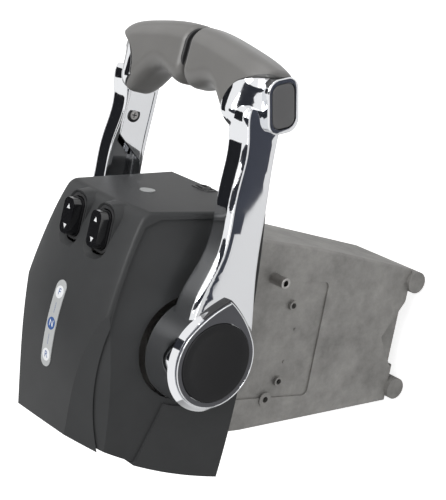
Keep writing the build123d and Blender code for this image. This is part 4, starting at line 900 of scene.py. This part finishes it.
def studio_lamp(scene, name, place, size, power):
    """A square lamp that looks at the control."""
    data = bpy.data.lights.new(name, "AREA")
    data.shape = "SQUARE"
    data.size = size
    data.energy = power
    lamp = bpy.data.objects.new(name, data)
    scene.collection.objects.link(lamp)
    lamp.location = place
    lamp.rotation_mode = "QUATERNION"
    lamp.rotation_quaternion = (Vector(LAMP_AIM) - Vector(place)).to_track_quat("-Z", "Y")


def studio_camera(scene, lens):
    """The camera at the photograph's viewing angle."""
    data = bpy.data.cameras.new("camera")
    data.lens = lens
    camera = bpy.data.objects.new("camera", data)
    scene.collection.objects.link(camera)
    right, up = Vector(CAMERA_RIGHT), Vector(CAMERA_UP)
    turn = Matrix((right, up, right.cross(up))).transposed().to_4x4()
    camera.matrix_world = Matrix.Translation(Vector(CAMERA_PLACE)) @ turn
    scene.camera = camera


class THROTTLE_OT_studio(bpy.types.Operator):
    """Makes the floor, the cards, the lamps and the camera"""

    bl_idname = "throttle.studio"
    bl_label = "Studio"

    def execute(self, context):
        scene = context.scene
        stage = scene.throttle_stage
        studio_world(scene)
        studio_floor(scene, stage.floor_height, stage.floor_glow)
        for name, level, corners in REFLECTION_CARDS:
            studio_card(scene, name, level, corners)
        for name, place, size, setting in LAMPS:
            studio_lamp(scene, name, place, size, getattr(stage, setting))
        studio_camera(scene, stage.lens)
        scene.view_settings.view_transform = "Standard"
        return {"FINISHED"}


OPERATORS = (
    THROTTLE_OT_finishes,
    THROTTLE_OT_hub_trims,
    THROTTLE_OT_grip_ends,
    THROTTLE_OT_gear_letters,
    THROTTLE_OT_rocker_marks,
    THROTTLE_OT_screw_slots,
    THROTTLE_OT_catch_frame,
    THROTTLE_OT_studio,
)


class THROTTLE_PT_panel(bpy.types.Panel):
    """Sidebar panel that lists the control's steps"""

    bl_idname = "THROTTLE_PT_panel"
    bl_label = "Throttle Control"
    bl_space_type = "VIEW_3D"
    bl_region_type = "UI"
    bl_category = "Throttle"

    def draw(self, context):
        for operator in OPERATORS:
            self.layout.operator(operator.bl_idname)


CLASSES = (ThrottleColours, ThrottleStage) + OPERATORS + (THROTTLE_PT_panel,)


def register():
    for item in CLASSES:
        bpy.utils.register_class(item)
    bpy.types.Scene.throttle_colours = bpy.props.PointerProperty(type=ThrottleColours)
    bpy.types.Scene.throttle_stage = bpy.props.PointerProperty(type=ThrottleStage)


def unregister():
    del bpy.types.Scene.throttle_stage
    del bpy.types.Scene.throttle_colours
    for item in reversed(CLASSES):
        bpy.utils.unregister_class(item)


def main():
    """Runs the steps in order."""
    register()
    bpy.ops.throttle.finishes()
    bpy.ops.throttle.hub_trims()
    bpy.ops.throttle.grip_ends()
    bpy.ops.throttle.gear_letters()
    bpy.ops.throttle.rocker_marks()
    bpy.ops.throttle.screw_slots()
    bpy.ops.throttle.catch_frame()
    bpy.ops.throttle.studio()


if __name__ == "__main__":
    main()
